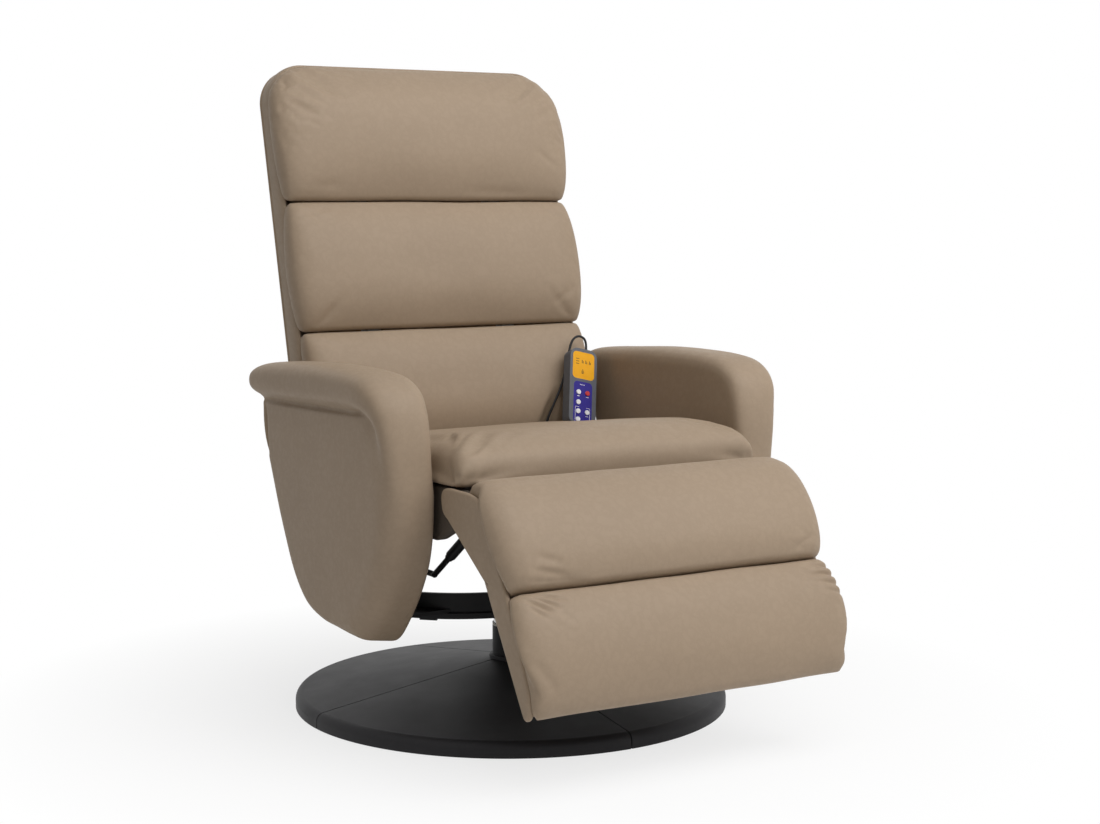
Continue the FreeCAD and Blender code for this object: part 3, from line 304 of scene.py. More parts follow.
# %% Rubbed edges: a mask that is high where the surface bulges sharply
def make_rubbed_edges():
    group, given, end = new_group("rubbed_edges", {"Reach": 0.5, "Breakup per metre": 60.0}, ("Mask",))
    bulge = add_node(group, "NewGeometry").outputs["Pointiness"]
    sharp = add_node(group, "MapRange", Value=bulge, From_Min=0.51, From_Max=0.60).outputs[0]
    patchy = noise(object_place(group), given["Breakup per metre"], 3.0)
    broken = times(sharp, times(patchy, 1.6, clamp=True))
    feed(end, Mask=times(broken, given["Reach"], clamp=True))


# %% Fine texture: the spark-eroded skin of mouldings and the peel of powder paint
def make_fine_texture():
    group, given, end = new_group("fine_texture", {"Specks per metre": 1400.0}, ("Height", "Gloss shift"))
    place = object_place(group)
    specks = noise(place, given["Specks per metre"], 2.0, 0.5)
    smears = noise(place, 18.0, 4.0, 0.6)
    feed(end, Height=specks, Gloss_shift=minus(smears, 0.5))


# %% Woven threads: two sets of crossing waves, for webbing and for the dark cloth whose brown is painted shade
def make_weave():
    group, given, end = new_group("weave", {"Threads per metre": 700.0}, ("Height",))
    axes = add_node(group, "SeparateXYZ", Vector=object_place(group)).outputs
    turn = times(given["Threads per metre"], 2 * math.pi)
    warp = math_node("SINE", times(axes["X"], turn))
    weft = math_node("SINE", times(plus(axes["Y"], axes["Z"]), turn))
    feed(end, Height=times(warp, weft))


for make in (make_leather_grain, make_tone_drift, make_rubbed_edges, make_fine_texture, make_weave):
    make()
print("shared effects:", ", ".join(shared))

# %% [markdown]
# ## Finishes
# Each finish is one Principled shader. Constant numbers are set on the shader itself; whatever changes
# over the surface comes from the groups. A small helper tints the base colour by the tone group, lightens
# the rubbed edges and feeds a bump, and each material then adds what is its own.

# %% Finish helpers
def srgb(*swatch):
    """A colour read off a 0-255 swatch, as the linear values that a shader wants."""
    def linear(value):
        value = value / 255
        return value / 12.92 if value <= 0.04045 else ((value + 0.055) / 1.055) ** 2.4
    return tuple(linear(value) for value in swatch) + (1.0,)


def place_group(tree, name, **values):
    node = add_node(tree, "Group")
    node.node_tree = shared[name]
    return feed(node, **values).outputs


def colour_mix(tree, blend, **values):
    node = add_node(tree, "Mix")
    node.data_type = "RGBA"
    node.blend_type = blend
    return feed(node, **values).outputs["Result"]


def tinted(colour, tone, edge_mask=None, edge_colour=None):
    """Base colour times the tone, with the rubbed edges mixed towards their own colour."""
    tree = tone.id_data
    grey = add_node(tree, "CombineColor")
    for channel in grey.inputs:
        put(channel, tone)
    result = colour_mix(tree, "MULTIPLY", Factor=1.0, A=colour, B=grey.outputs[0])
    if edge_mask is None:
        return result
    return colour_mix(tree, "MIX", Factor=edge_mask, A=result, B=edge_colour)


def bump(height, strength, distance):
    node = add_node(height.id_data, "Bump", Strength=strength, Distance=distance, Height=height)
    return node.outputs["Normal"]


def ranged(value, low, high):
    """A 0-1 value spread between two roughness limits."""
    return add_node(value.id_data, "MapRange", Value=value, To_Min=low, To_Max=high).outputs[0]


# %% Leather: a smooth, semi-matte hide
def make_leather(name, colour, edge_colour):
    material, tree, shader = new_finish(name)
    grain = place_group(tree, "leather_grain", Pebbles_per_metre=430.0, Crease_depth=0.30)
    tone = place_group(tree, "tone_drift", Patches_per_metre=5.5, Strength=0.16)
    rubbed = place_group(tree, "rubbed_edges", Reach=0.30, Breakup_per_metre=40.0)
    # Painted shade: the tone is darkened a little in the grain's creases.
    crease_shaded_tone = minus(tone["Tone"], times(grain["Furrow"], 0.045))
    feed(shader, Base_Color=tinted(colour, crease_shaded_tone, rubbed["Mask"], edge_colour),
         Roughness=ranged(grain["Height"], 0.62, 0.44),
         Normal=bump(grain["Height"], 0.10, 0.0007),
         Specular_IOR_Level=0.26, Sheen_Weight=0.02, Sheen_Roughness=0.5)
    return material


# %% Mouldings and painted steel
def make_moulding(name, colour, edge_colour, rough, specks=1500.0, strength=0.10, wear=0.35, shine=0.5):
    material, tree, shader = new_finish(name)
    texture = place_group(tree, "fine_texture", Specks_per_metre=specks)
    tone = place_group(tree, "tone_drift", Patches_per_metre=9.0, Strength=0.14)
    rubbed = place_group(tree, "rubbed_edges", Reach=wear, Breakup_per_metre=90.0)
    base = tinted(srgb(*colour), tone["Tone"], rubbed["Mask"], srgb(*edge_colour))
    shifted = plus(texture["Gloss shift"], 0.5, clamp=True)
    feed(shader, Base_Color=base, Roughness=ranged(shifted, *rough),
         Normal=bump(texture["Height"], strength, 0.0004), Specular_IOR_Level=shine)
    return material


# %% Bright steel with a drawn, slightly streaky surface
def make_bright_steel():
    material, tree, shader = new_finish("bright_steel")
    texture = place_group(tree, "fine_texture", Specks_per_metre=900.0)
    tone = place_group(tree, "tone_drift", Patches_per_metre=30.0, Strength=0.2)
    feed(shader, Base_Color=tinted(srgb(190, 190, 188), tone["Tone"]), Metallic=1.0,
         Roughness=ranged(texture["Height"], 0.22, 0.42),
         Normal=bump(texture["Height"], 0.06, 0.0002))
    return material


# %% Plywood with long growth rings, woven webbing, and a dark woven cloth whose brown is painted shade
def make_plywood():
    material, tree, shader = new_finish("seat_board")
    rings = add_node(tree, "TexWave", Vector=object_place(tree), Scale=14.0, Distortion=7.0,
                     Detail=3.0).outputs["Fac"]
    tone = plus(times(rings, 0.22), 0.86)
    feed(shader, Base_Color=tinted(srgb(176, 138, 96), tone),
         Roughness=ranged(rings, 0.55, 0.7), Normal=bump(rings, 0.08, 0.0004))
    return material


def make_woven(name, colour, threads):
    material, tree, shader = new_finish(name)
    weave = place_group(tree, "weave", Threads_per_metre=threads)
    tone = place_group(tree, "tone_drift", Patches_per_metre=24.0, Strength=0.3)
    feed(shader, Base_Color=tinted(colour, tone["Tone"]),
         Roughness=ranged(weave["Height"], 0.75, 0.9),
         Normal=bump(weave["Height"], 0.35, 0.0006))
    return material


# %% One finish for each material slot
finishes = {
    "leather": make_leather("taupe_leather", srgb(158, 139, 118), srgb(161, 142, 121)),
    "bright_steel": make_bright_steel(),
    "board": make_plywood(),
    "webbing": make_woven("black_webbing", srgb(30, 30, 32), 520.0),
    # The dark brown cloth's colour is painted shade: it goes on the seat box sides and the front cross
    # board, which sit in shadow.
    "lining": make_woven("painted_shade_lining", srgb(72, 62, 52), 900.0),
}
# Each row: name, colour, colour of rubbed edges, roughness limits, then specks, bump, wear and shine.
MOULDINGS = {
    "base_cover": ("charcoal_moulding", (38, 37, 39), (62, 62, 65), (0.46, 0.6), 1500.0, 0.10, 0.35, 0.2),
    "black_steel": ("black_powder_paint", (17, 16, 17), (40, 40, 42), (0.4, 0.55), 900.0, 0.10, 0.35, 0.2),
    "bush_plastic": ("nylon", (205, 200, 188), (222, 218, 208), (0.4, 0.55)),
    "rubber": ("rubber", (34, 34, 35), (60, 60, 60), (0.7, 0.88), 700.0, 0.2),
    "handset_grey": ("grey_casing", (86, 89, 96), (116, 119, 126), (0.42, 0.56), 2600.0, 0.06, 0.35, 0.25),
    "amber_window": ("amber_lens", (236, 164, 4), (250, 204, 70), (0.3, 0.4), 500.0, 0.01, 0.2, 0.12),
    "keypad_blue": ("blue_keypad", (50, 42, 134), (80, 72, 164), (0.5, 0.65), 2400.0, 0.06, 0.2, 0.15),
    "circuit_board": ("circuit_board", (28, 92, 52), (60, 120, 80), (0.4, 0.5)),
    "button_white": ("white_button", (236, 236, 240), (248, 248, 250), (0.3, 0.4), 2600.0, 0.03, 0.1),
    "button_red": ("red_button", (196, 40, 44), (220, 90, 90), (0.3, 0.4), 2600.0, 0.03, 0.15),
}
for slot, row in MOULDINGS.items():
    finishes[slot] = make_moulding(*row)
print("finishes:", ", ".join(finishes))

# %% [markdown]
# ## Making padded leather
# Every cushion starts as a loft: one closed outline per station across the chair, joined by quads. The
# loft is remeshed to an even skin, pinned where the leather is tacked down, and blown up gently by the
# cloth solver, with a cap on how far a point may move. Folds come last, pressed in stroke by stroke.


def new_piece(name, points, faces, finish, smooth=True):
    mesh = bpy.data.meshes.new(name)
    mesh.from_pydata([(x * MM, y * MM, z * MM) for x, y, z in points], [], faces)
    mesh.validate()
    piece = add_object(name, mesh)
    mesh.materials.append(finishes[finish])
    work = bmesh.new()
    work.from_mesh(mesh)
    bmesh.ops.recalc_face_normals(work, faces=work.faces)
    work.to_mesh(mesh)
    work.free()
    if smooth:
        mesh.shade_smooth()
    return piece


def loft(name, rings):
    """Leather quads between rings of equal count; the first and last ring are capped."""
    count = len(rings[0])
    points = [tuple(point) for ring in rings for point in ring]
    faces = []
    for here in range(0, len(points) - count, count):
        there = here + count
        for j in range(count):
            k = (j + 1) % count
            faces.append((here + j, here + k, there + k, there + j))
    faces.append(tuple(reversed(range(count))))
    faces.append(tuple(range(len(points) - count, len(points))))
    return new_piece(name, points, faces, "leather")


def flowing(points, per_span, closed=False):
    """Points on a smooth line through the given ones (Catmull-Rom)."""
    knots = np.array(points, float)
    total = len(knots)
    result = []
    for i in range(total if closed else total - 1):
        around = range(i - 1, i + 3)
        a, b, c, d = (knots[n % total if closed else min(max(n, 0), total - 1)] for n in around)
        for step in range(per_span):
            t = step / per_span
            result.append(0.5 * (2 * b + (c - a) * t + (2 * a - 5 * b + 4 * c - d) * t * t
                                 + (3 * b - a - 3 * c + d) * t ** 3))
    if not closed:
        result.append(knots[-1])
    return result


def evaluated_copy(piece):
    """The piece's mesh as its modifiers leave it."""
    graph = bpy.context.evaluated_depsgraph_get()
    return bpy.data.meshes.new_from_object(piece.evaluated_get(graph))


def vertex_rows(mesh, what):
    flat = np.empty(len(mesh.vertices) * 3)
    mesh.vertices.foreach_get(what, flat)
    return flat.reshape(-1, 3)


def places_of(piece):
    return vertex_rows(piece.data, "co") / MM


def move_to(piece, places):
    piece.data.vertices.foreach_set("co", np.ascontiguousarray(places * MM).ravel())
    piece.data.update()


# %% Even skin, cloth pressure, folds
CLOTH = {"quality": 5, "mass": 0.4, "tension_stiffness": 12.0, "compression_stiffness": 10.0,
         "shear_stiffness": 6.0, "bending_stiffness": 1.2, "use_pressure": True,
         "uniform_pressure_force": 4.0, "vertex_group_mass": "tacked"}
CLOTH_STEPS = 20


def swap_mesh(piece, mesh):
    old = piece.data
    mesh.name = piece.name
    piece.modifiers.clear()
    piece.data = mesh
    bpy.data.meshes.remove(old)
    mesh.shade_smooth()


def add_relax(piece, rounds):
    relax = piece.modifiers.new("relax", "SMOOTH")
    relax.factor = 0.5
    relax.iterations = rounds
    return relax


def even_skin(piece, voxel, rounds=6):
    """Voxel remesh, then a short relax that takes the steps out of the voxels."""
    remesh = piece.modifiers.new("skin", "REMESH")
    remesh.mode = "VOXEL"
    remesh.voxel_size = voxel * MM
    add_relax(piece, rounds)
    swap_mesh(piece, evaluated_copy(piece))


def puff(piece, pinned, cap):
    """Blow the piece up with the cloth solver; pinned(places) says which points stay."""
    rest = places_of(piece)
    group = piece.vertex_groups.new(name="tacked")
    group.add([int(i) for i in np.nonzero(pinned(rest))[0]], 1.0, "REPLACE")
    cloth = piece.modifiers.new("cloth", "CLOTH")
    for label, value in CLOTH.items():
        setattr(cloth.settings, label, value)
    cloth.settings.effector_weights.gravity = 0.0
    cloth.collision_settings.use_collision = False
    cloth.point_cache.frame_start = 1
    cloth.point_cache.frame_end = CLOTH_STEPS
    for step in range(1, CLOTH_STEPS + 1):
        bpy.context.scene.frame_set(step)
    moved = vertex_rows(evaluated_copy(piece), "co") / MM - rest
    bpy.context.scene.frame_set(1)
    length = np.maximum(np.linalg.norm(moved, axis=1), 1e-6)
    share = cap * np.tanh(length / cap) / length
    piece.modifiers.clear()
    piece.vertex_groups.clear()
    move_to(piece, rest + moved * share[:, None])
    print(piece.name, "swelled by up to", round(float((length * share).max()), 1), "mm")


def as_given(*place):
    return place


def press_folds(piece, facing, folds, place=as_given):
    """Press soft grooves (depth > 0) or raise ridges (depth < 0) along short strokes.

    Each fold is two places, a width and a depth, eight numbers in all. It is laid on the skin that
    looks along facing, as if drawn from that side, and it fades at both ends."""
    places = places_of(piece)
    normals = vertex_rows(piece.data, "normal")
    facing = np.array(facing, float) / np.linalg.norm(facing)
    flat = places - np.outer(places @ facing, facing)
    seen = np.clip((normals @ facing - 0.05) * 4, 0, 1)
    push = np.zeros(len(places))
    for *ends, width, depth in folds:
        a, b = np.array(place(*ends[:3]), float), np.array(place(*ends[3:]), float)
        a, b = a - facing * (a @ facing), b - facing * (b @ facing)
        run = b - a
        share = (flat - a) @ run / (run @ run)
        away = np.linalg.norm(flat - (a + np.clip(share, 0, 1)[:, None] * run), axis=1)
        fade = np.sin(np.pi * np.clip(share, 0.03, 0.97)) ** 0.7
        push -= depth * fade * np.exp(-(away / width) ** 2)
    move_to(piece, places + normals * (push * seen)[:, None])


def settle(piece, amount, wave, seed):
    """Slow unevenness of the filling under the leather: a few seeded sine waves."""
    places = places_of(piece)
    draw = np.random.default_rng(seed)
    waves = 6
    lift = np.zeros(len(places))
    for _ in range(waves):
        direction = draw.normal(size=3)
        direction /= np.linalg.norm(direction)
        length = wave * draw.uniform(0.7, 1.6)
        lift += np.sin(2 * np.pi * (places @ direction) / length + draw.uniform(0, 6.28))
    move_to(piece, places + vertex_rows(piece.data, "normal") * (amount * lift / waves)[:, None])


def finer(piece):
    """One level of subdivision for a smooth outline."""
    surface = piece.modifiers.new("finer", "SUBSURF")
    surface.levels = 1
    surface.render_levels = 1


# %% Shapes that several pads share, and what each piece is declared to be
def stations(half_width, count=31):
    """Places across a pad, close together towards its ends."""
    turns = [math.pi * (i / (count - 1) - 0.5) for i in range(count)]
    return [half_width * math.sin(turn) for turn in turns]


def side_drop(x, half_width, radius):
    """0 in the field of a pad, rising to 1 where its end has turned through a quarter circle."""
    into = max(0.0, abs(x) - (half_width - radius)) / radius
    return 1 - math.sqrt(max(0.0, 1 - into * into))


def belly(along, low, high, power):
    """1 half way along a pad, falling to 0 at both its edges."""
    return np.clip(1 - ((along - (low + high) / 2) / ((high - low) / 2)) ** 2, 0, 1) ** power


def own_directions(origin, run, rise):
    """For a tilted part: a place from its own measures, and its own measures of many places."""
    origin, run, rise = np.array(origin), np.array(run), np.array(rise)

    def place(x, along, out):
        return np.array((x, 0.0, 0.0)) + origin + run * along + rise * out

    def measures(places):
        offset = places - origin
        return offset @ run, offset @ rise

    return place, measures


def declare(piece, body=None, nodes=(), fill=None):
    if body:
        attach(piece, body)
    if nodes:
        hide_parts(*nodes)
    print(piece.name, len(piece.data.vertices), "points")


# %% [markdown]
# ## Back pads
# Three separate rolls make the back: head, middle and lumbar, with deep creases between them where the
# cover is pulled to the frame. In section each is flat behind, nearly flat at its ends and full in front.
# Working in the back's own directions (along it and out of it) keeps the outlines simple.

# %% Outline of a back pad
BACK_OUT = (0.0, -0.9736, 0.2284)
on_back, back_places = own_directions((0.0, 215.0, 590.0), (0.0, 0.2284, 0.9736), BACK_OUT)
PAD_CROWN = 35.0
PAD_REAR = -14.0
PAD_TACKED = -9.0
PAD_EDGE = 6.0
PAD_SIDE_ROUND = 30.0
PAD_STEPS = 44


def pad_ring(x, half_width, low, high, high_edge):
    drop = 0.72 * side_drop(x, half_width, PAD_SIDE_ROUND)
    top = PAD_CROWN - (PAD_CROWN - 0.5) * drop
    middle, reach = (low + high) / 2, (high - low) / 2
    ring = []
    for i in range(PAD_STEPS + 1):
        share = math.cos(math.pi * i / PAD_STEPS)
        bent = share + 0.10 * (1 - share * share)
        edge = (PAD_EDGE + (high_edge - PAD_EDGE) * (share + 1) / 2) * (1 - drop)
        full = (1 - min(1.0, abs(bent)) ** 2.5) ** 0.58
        ring.append((middle + reach * share, edge + (top - edge) * full))
    ring += [(low, (PAD_REAR + PAD_EDGE) / 2), (low + 3, PAD_REAR)]
    ring += [(low + (high - low) * i / 8, PAD_REAR) for i in range(1, 8)]
    ring += [(high - 3, PAD_REAR), (high, (PAD_REAR + high_edge) / 2)]
    return [on_back(x, along, out) for along, out in ring]


# %% Make the three pads
def make_back_pad(name, low, high, half_width, bulge, seed, corner=0.0, high_edge=PAD_EDGE):
    rings = []
    for x in stations(half_width):
        top = high - corner * side_drop(x, half_width, corner) if corner else high
        rings.append(pad_ring(x, half_width, low, top, high_edge))
    pad = loft(name, rings)
    even_skin(pad, voxel=5.5)
    places = places_of(pad)
    wider = bulge * belly(back_places(places)[0], low, high, 0.8)
    places[:, 0] += np.sign(places[:, 0]) * wider * (np.abs(places[:, 0]) / half_width) ** 4
    move_to(pad, places)

    def tacked(places):
        along, out = back_places(places)
        return (out < PAD_TACKED) | (along < low + 5) | ((along > high - 5) & (corner == 0))

    puff(pad, tacked, cap=9.0)
    settle(pad, amount=1.2, wave=150.0, seed=seed)
    return pad


lumbar_pad = make_back_pad("lumbar_cushion", -193.0, -0.8, 262.0, 4.0, 11)
middle_pad = make_back_pad("middle_cushion", 0.8, 214.2, 262.0, 13.0, 12)
head_pad = make_back_pad("head_cushion", 215.8, 447.0, 263.0, 12.0, 13, corner=66.0, high_edge=-6.0)
head_folds = [(196, 300, 36, 250, 262, 18, 4.0, 1.6), (-228, 236, 26, -170, 240, 34, 6.0, 1.4),
              (60, 230, 34, 190, 226, 30, 6.0, 1.2)]
middle_folds = [(200, 30, 30, 252, 60, 22, 5.0, 1.8), (-240, 190, 22, -190, 204, 26, 5.0, 1.4),
                (205, 196, 26, 250, 176, 20, 5.0, 1.4)]
press_folds(head_pad, BACK_OUT, head_folds, on_back)
press_folds(middle_pad, BACK_OUT, middle_folds, on_back)


# %% A groove for the lead, and the back pads' declarations
LEAD_MARGIN = 4.0
GROOVE_FLAT, GROOVE_REACH, GROOVE_SLOPE = 7.0, 22.0, 1.5
FAR = 1e3


def clear_of_lead(pad):
    """Press a pad back where the handset's lead hangs against it."""
    lead = vertex_rows(evaluated_copy(handset_lead), "co") / MM
    places = places_of(pad)
    along, out = back_places(places)
    limit = np.full(len(places), FAR)
    for x, level, reach in zip(lead[:, 0], *back_places(lead)):
        beside = np.hypot(places[:, 0] - x, along - level)
        bank = reach - LEAD_MARGIN + GROOVE_SLOPE * np.maximum(beside - GROOVE_FLAT, 0)
        limit = np.minimum(limit, np.where(beside < GROOVE_REACH, bank, FAR))
    back_by = np.clip(out - limit, 0, np.maximum(out - PAD_TACKED, 0))
    move_to(pad, places - np.outer(back_by, BACK_OUT))
    print("lead groove:", int((back_by > 0).sum()), "points pressed back")


clear_of_lead(lumbar_pad)
for pad, node, fill in ((lumbar_pad, "lumbar_pad", 0.8), (middle_pad, "middle_pad", 0.8),
                        (head_pad, "head_pad", 0.85)):
    finer(pad)
    declare(pad, "backrest", [node], fill)

# %% [markdown]
# ## Seat cushion
# One deep cushion fills the seat. It crowns just behind its front edge, where a firmer roll carries the
# thighs, and falls gently to the rear. Its ends turn down between the arms, so each station's outline
# loses height as it nears a side.

# %% Make the seat cushion
SEAT_HALF = 264.0
SEAT_FOOT = 401
SEAT_SAG = 5.0
SEAT_LESS = 4.0
DENT_MIDDLE, DENT_HALF, DENT_BANK = 198, 41, 20
DENT_START, DENT_RUN, DENT_FLOOR = 48, 28, 405


def seat_ring(x):
    drop = side_drop(x, SEAT_HALF, 30.0)
    fall = 32.0 * drop + SEAT_SAG * (abs(x) / SEAT_HALF) ** 2.5
    back, less = 10.0 * drop, SEAT_LESS + fall
    outline = [(-296 + back, SEAT_FOOT), (-304 + back, 418), (-303 + back, 436 - fall * 0.5),
               (-292 + back, 455 - SEAT_LESS - fall * 0.8), (-262, 467 - less), (-205, 466 - less),
               (-110, 456 - less), (0, 442 - less), (90, 433 - less), (140 - back, 424 - fall * 0.6),
               (149 - back, 412), (144 - back, SEAT_FOOT)]
    flow = flowing([(y, max(z, SEAT_FOOT)) for y, z in outline], 5)
    base = [(y, SEAT_FOOT - 0.5) for y in np.linspace(140 - back, -292 + back, 12)]
    return [(x, y, z) for y, z in flow + base]


def dent_for_handset(piece):
    """Lower the cushion's rear where the handset's foot presses into it."""
    places = places_of(piece)
    inside = np.clip((DENT_HALF - np.abs(places[:, 0] - DENT_MIDDLE)) / DENT_BANK, 0, 1)
    inside *= np.clip((places[:, 1] - DENT_START) / DENT_RUN, 0, 1)
    inside = inside * inside * (3 - 2 * inside)
    places[:, 2] -= inside * np.maximum(places[:, 2] - DENT_FLOOR, 0) * 0.92
    move_to(piece, places)


seat_cushion = loft("seat_cushion_skin", [seat_ring(x) for x in stations(SEAT_HALF)])
even_skin(seat_cushion, voxel=6.0)
puff(seat_cushion, lambda p: (p[:, 2] < 408) | (p[:, 1] > 128), cap=8.0)
settle(seat_cushion, amount=1.4, wave=190.0, seed=21)
dent_for_handset(seat_cushion)
press_folds(seat_cushion, (-0.3, -0.6, 0.7), [(-250, -286, 446, -196, -270, 470, 6.0, 2.2),
                                              (-256, -250, 430, -222, -240, 468, 7.0, 1.8)])
finer(seat_cushion)
declare(seat_cushion, "seat", ["seat_cushion"], 0.8)

# %% [markdown]
# ## Leg rest
# The leg rest is a board hinged under the front of the seat, wrapped in leather, with two pads on it. The
# upper pad is fullest over the shins and rounds back over the hinge; the lower pad rolls round the toe.
# A sharp crease parts them, and the leather gathers at the corners beside it.

# %% Outlines of the two pads, in the leg rest's own directions
LEG_OUT = (0.0, -0.8545, 0.5195)
on_leg, leg_places = own_directions((0.0, -350.0, 328.0), (0.0, -0.5195, -0.8545), LEG_OUT)
LEG_HALF = 268.0
LEG_BASE = 14.5
LEG_LESS = 2.0
LEG_SIDE_INNER = 260.6
LEG_LAP_START, LEG_LAP_END = -60.0, 254.0
LEG_TACKED = 19


def less_swell(rows):
    """Outline points of (along, out, share), less a share of what the cloth solver will add."""
    return [(along, out - share * LEG_LESS) for along, out, share in rows]


leg_side_front = [(257, 8), (256, 15), (247, 23), (222, 32), (170, 40), (95, 45), (45, 46), (5, 46)]
upper_front = less_swell([(93.6, 40, 0), (93.4, 57, 0), (88, 72, 0.5), (70, 83, 1), (40, 88, 1), (5, 88, 1),
                          (-32, 81, 1), (-60, 66, 0.5), (-79, 45, 0), (-84, 31, 0)])
upper_rear = [(-80, 16), (-74, 1), (-66, -11), (-52, -19), (-34, -21), (-18, -12), (-6, -2), (-0.5, 6)]
upper_rear += [(along, LEG_BASE) for along in range(0, 81, 16)] + [(93.6, 15)]
lower_front = less_swell([(94.6, 40, 0), (95.0, 56, 0), (101, 68, 0.5), (118, 75, 1), (148, 76, 1),
                          (185, 69, 1), (220, 57, 0.5), (246, 43, 0), (258, 29, 0), (261, 18, 0)])
lower_rear = [(256, LEG_BASE)] + [(along, LEG_BASE) for along in range(240, 95, -16)] + [(94.6, 15)]


def leg_side_top(along):
    return float(np.interp(along, *zip(*reversed(leg_side_front)))) + 0.9


def leg_ring(x, front, rear, side_round, side_keep):
    """A leg pad's outline: its front thins towards the ends of the pad, its rear stays on the board."""
    keep = 1 - (1 - side_keep) * side_drop(x, LEG_HALF, side_round)
    turn_in = 6.0 * side_drop(x, LEG_HALF, 40.0)
    ring = [(along, LEG_BASE + (out - LEG_BASE) * keep) for along, out in flowing(front, 6)] + rear
    if abs(x) > LEG_SIDE_INNER:
        ring = [(min(max(along, LEG_LAP_START), LEG_LAP_END), out) for along, out in ring]
        ring = [(along, max(out, leg_side_top(along))) for along, out in ring]
    return [on_leg(x, along + turn_in * min(1.0, max(0.0, (-15 - along) / 55)), out) for along, out in ring]


def leg_stations():
    """Stations across a leg pad, with a step where it laps over the side covers."""
    steps = (LEG_SIDE_INNER - 0.1, LEG_SIDE_INNER + 0.1)
    return sorted(stations(LEG_HALF) + [side * place for side in (-1, 1) for place in steps])


# %% Make the two pads
def widen(piece, low, high, amount):
    """Let the end of a leg pad belly outwards over the side covers."""
    places = places_of(piece)
    along, out = leg_places(places)
    wider = amount * belly(along, low, high, 0.7) * np.clip((out - 44) / 12, 0, 1)
    places[:, 0] += np.sign(places[:, 0]) * wider * (np.abs(places[:, 0]) / LEG_HALF) ** 6
    move_to(piece, places)


def make_leg_pad(name, outline, low, high, tack_low, tack_high, seed):
    def tacked(places):
        along, out = leg_places(places)
        return (out < LEG_TACKED) | (along < tack_low) | (along > tack_high)

    pad = loft(name, [leg_ring(x, *outline) for x in leg_stations()])
    even_skin(pad, voxel=5.0, rounds=5)
    widen(pad, low, high, 15.0)
    puff(pad, tacked, cap=9.0)
    settle(pad, amount=1.2, wave=160.0, seed=seed)
    finer(pad)
    swap_mesh(pad, evaluated_copy(pad))
    return pad


upper_leg = make_leg_pad("upper_leg_cushion", (upper_front, upper_rear, 34.0, 0.50), -80, 95, -50, 88, 31)
lower_leg = make_leg_pad("lower_leg_cushion", (lower_front, lower_rear, 26.0, 0.62), 93, 262, 100, 254, 32)

# %% Gathers beside the crease
upper_folds = [(-236, 70, 0, -176, 84, 0, 5.0, 2.6), (-226, 54, 0, -186, 66, 0, 6.0, 2.0),
               (-246, 84, 0, -150, 91, 0, 4.0, 2.0), (250, 66, 0, 210, 82, 0, 5.0, 1.8)]
lower_folds = [(-258, 104, 0, -220, 132, 0, 3.2, 4.6), (-248, 101, 0, -204, 126, 0, 3.2, 5.0),
               (-238, 98, 0, -194, 114, 0, 3.0, 3.8), (-256, 116, 0, -232, 138, 0, 3.2, 3.4),
               (-252, 100, 0, -212, 128, 0, 3.0, -2.2), (-268, 190, 0, -232, 240, 0, 8.0, 1.6)]
end_folds = [(282, 112, 56, 236, 110, 74, 3.4, 4.5), (284, 127, 56, 230, 122, 76, 3.4, 5.5),
             (284, 142, 56, 236, 136, 76, 3.4, 4.5), (283, 156, 54, 244, 150, 74, 3.6, 3.0)]
press_folds(lower_leg, (0.8, -0.5, 0.3), end_folds, on_leg)
press_folds(upper_leg, LEG_OUT, upper_folds, on_leg)
press_folds(lower_leg, LEG_OUT, lower_folds, on_leg)

# %% Room in the upper pad's round end for the hinge plates
HINGE = np.array((-345.0, 372.0))
LEG_LIFT = 47.5
PLATE_PLACE, SLOT_HALF, SLOT_DEPTH, SLOT_RADIUS = 228.5, 15.5, 25, 20.5
SLOT_LOW, SLOT_HIGH = -100, 95


def make_room_for_hinge(pad):
    """Draw the skin between the hinge plates' faces in, onto an arc round the front of the hinge."""
    places = places_of(pad)
    from_hinge = places[:, 1:] - HINGE
    radius = np.linalg.norm(from_hinge, axis=1)
    turn = np.degrees(np.arctan2(from_hinge[:, 1], from_hinge[:, 0]))
    in_slot = (turn > SLOT_LOW) & (turn < SLOT_HIGH)
    in_slot &= np.abs(np.abs(places[:, 0]) - PLATE_PLACE) < SLOT_HALF
    in_slot &= radius * np.sin(np.radians(turn - LEG_LIFT)) < SLOT_DEPTH
    share = (SLOT_HIGH - turn[in_slot]) / (SLOT_HIGH - SLOT_LOW)
    round_front = np.radians(SLOT_HIGH + 165 * share)
    arc = np.stack([np.cos(round_front), np.sin(round_front)], axis=1)
    places[in_slot, 1:] = HINGE + SLOT_RADIUS * arc
    move_to(pad, places)
    print("hinge slots:", int(in_slot.sum()), "points drawn in")


make_room_for_hinge(upper_leg)
declare(upper_leg, "leg_rest", ["leg_pad_upper"], 0.85)
declare(lower_leg, "leg_rest", ["leg_pad_lower"], 0.75)

# %% [markdown]
# ## Boards wrapped in leather
# The leg board and the leg side covers are boards with leather pulled round them; the sides of the seat box
# are the same kind of board in a dark brown cloth whose colour is painted shade. A rounded slab does for
# all of them,
# and for the arms as well: one outline, repeated from face to face, drawn in along a quarter circle at both
# edges, and closed by rings that shrink to the middle of each face.

# %% Rounded slab
SLAB_SHRINK = 8
SLAB_STEPS = 6


def inward_normals(points):
    """Unit normals pointing into a closed outline of 2-D points."""
    after = np.roll(points, -1, axis=0)
    along = after - np.roll(points, 1, axis=0)
    along /= np.linalg.norm(along, axis=1)[:, None]
    normals = np.stack([-along[:, 1], along[:, 0]], axis=1)
    area = np.sum(points[:, 0] * after[:, 1] - points[:, 1] * after[:, 0])
    return normals if area > 0 else -normals


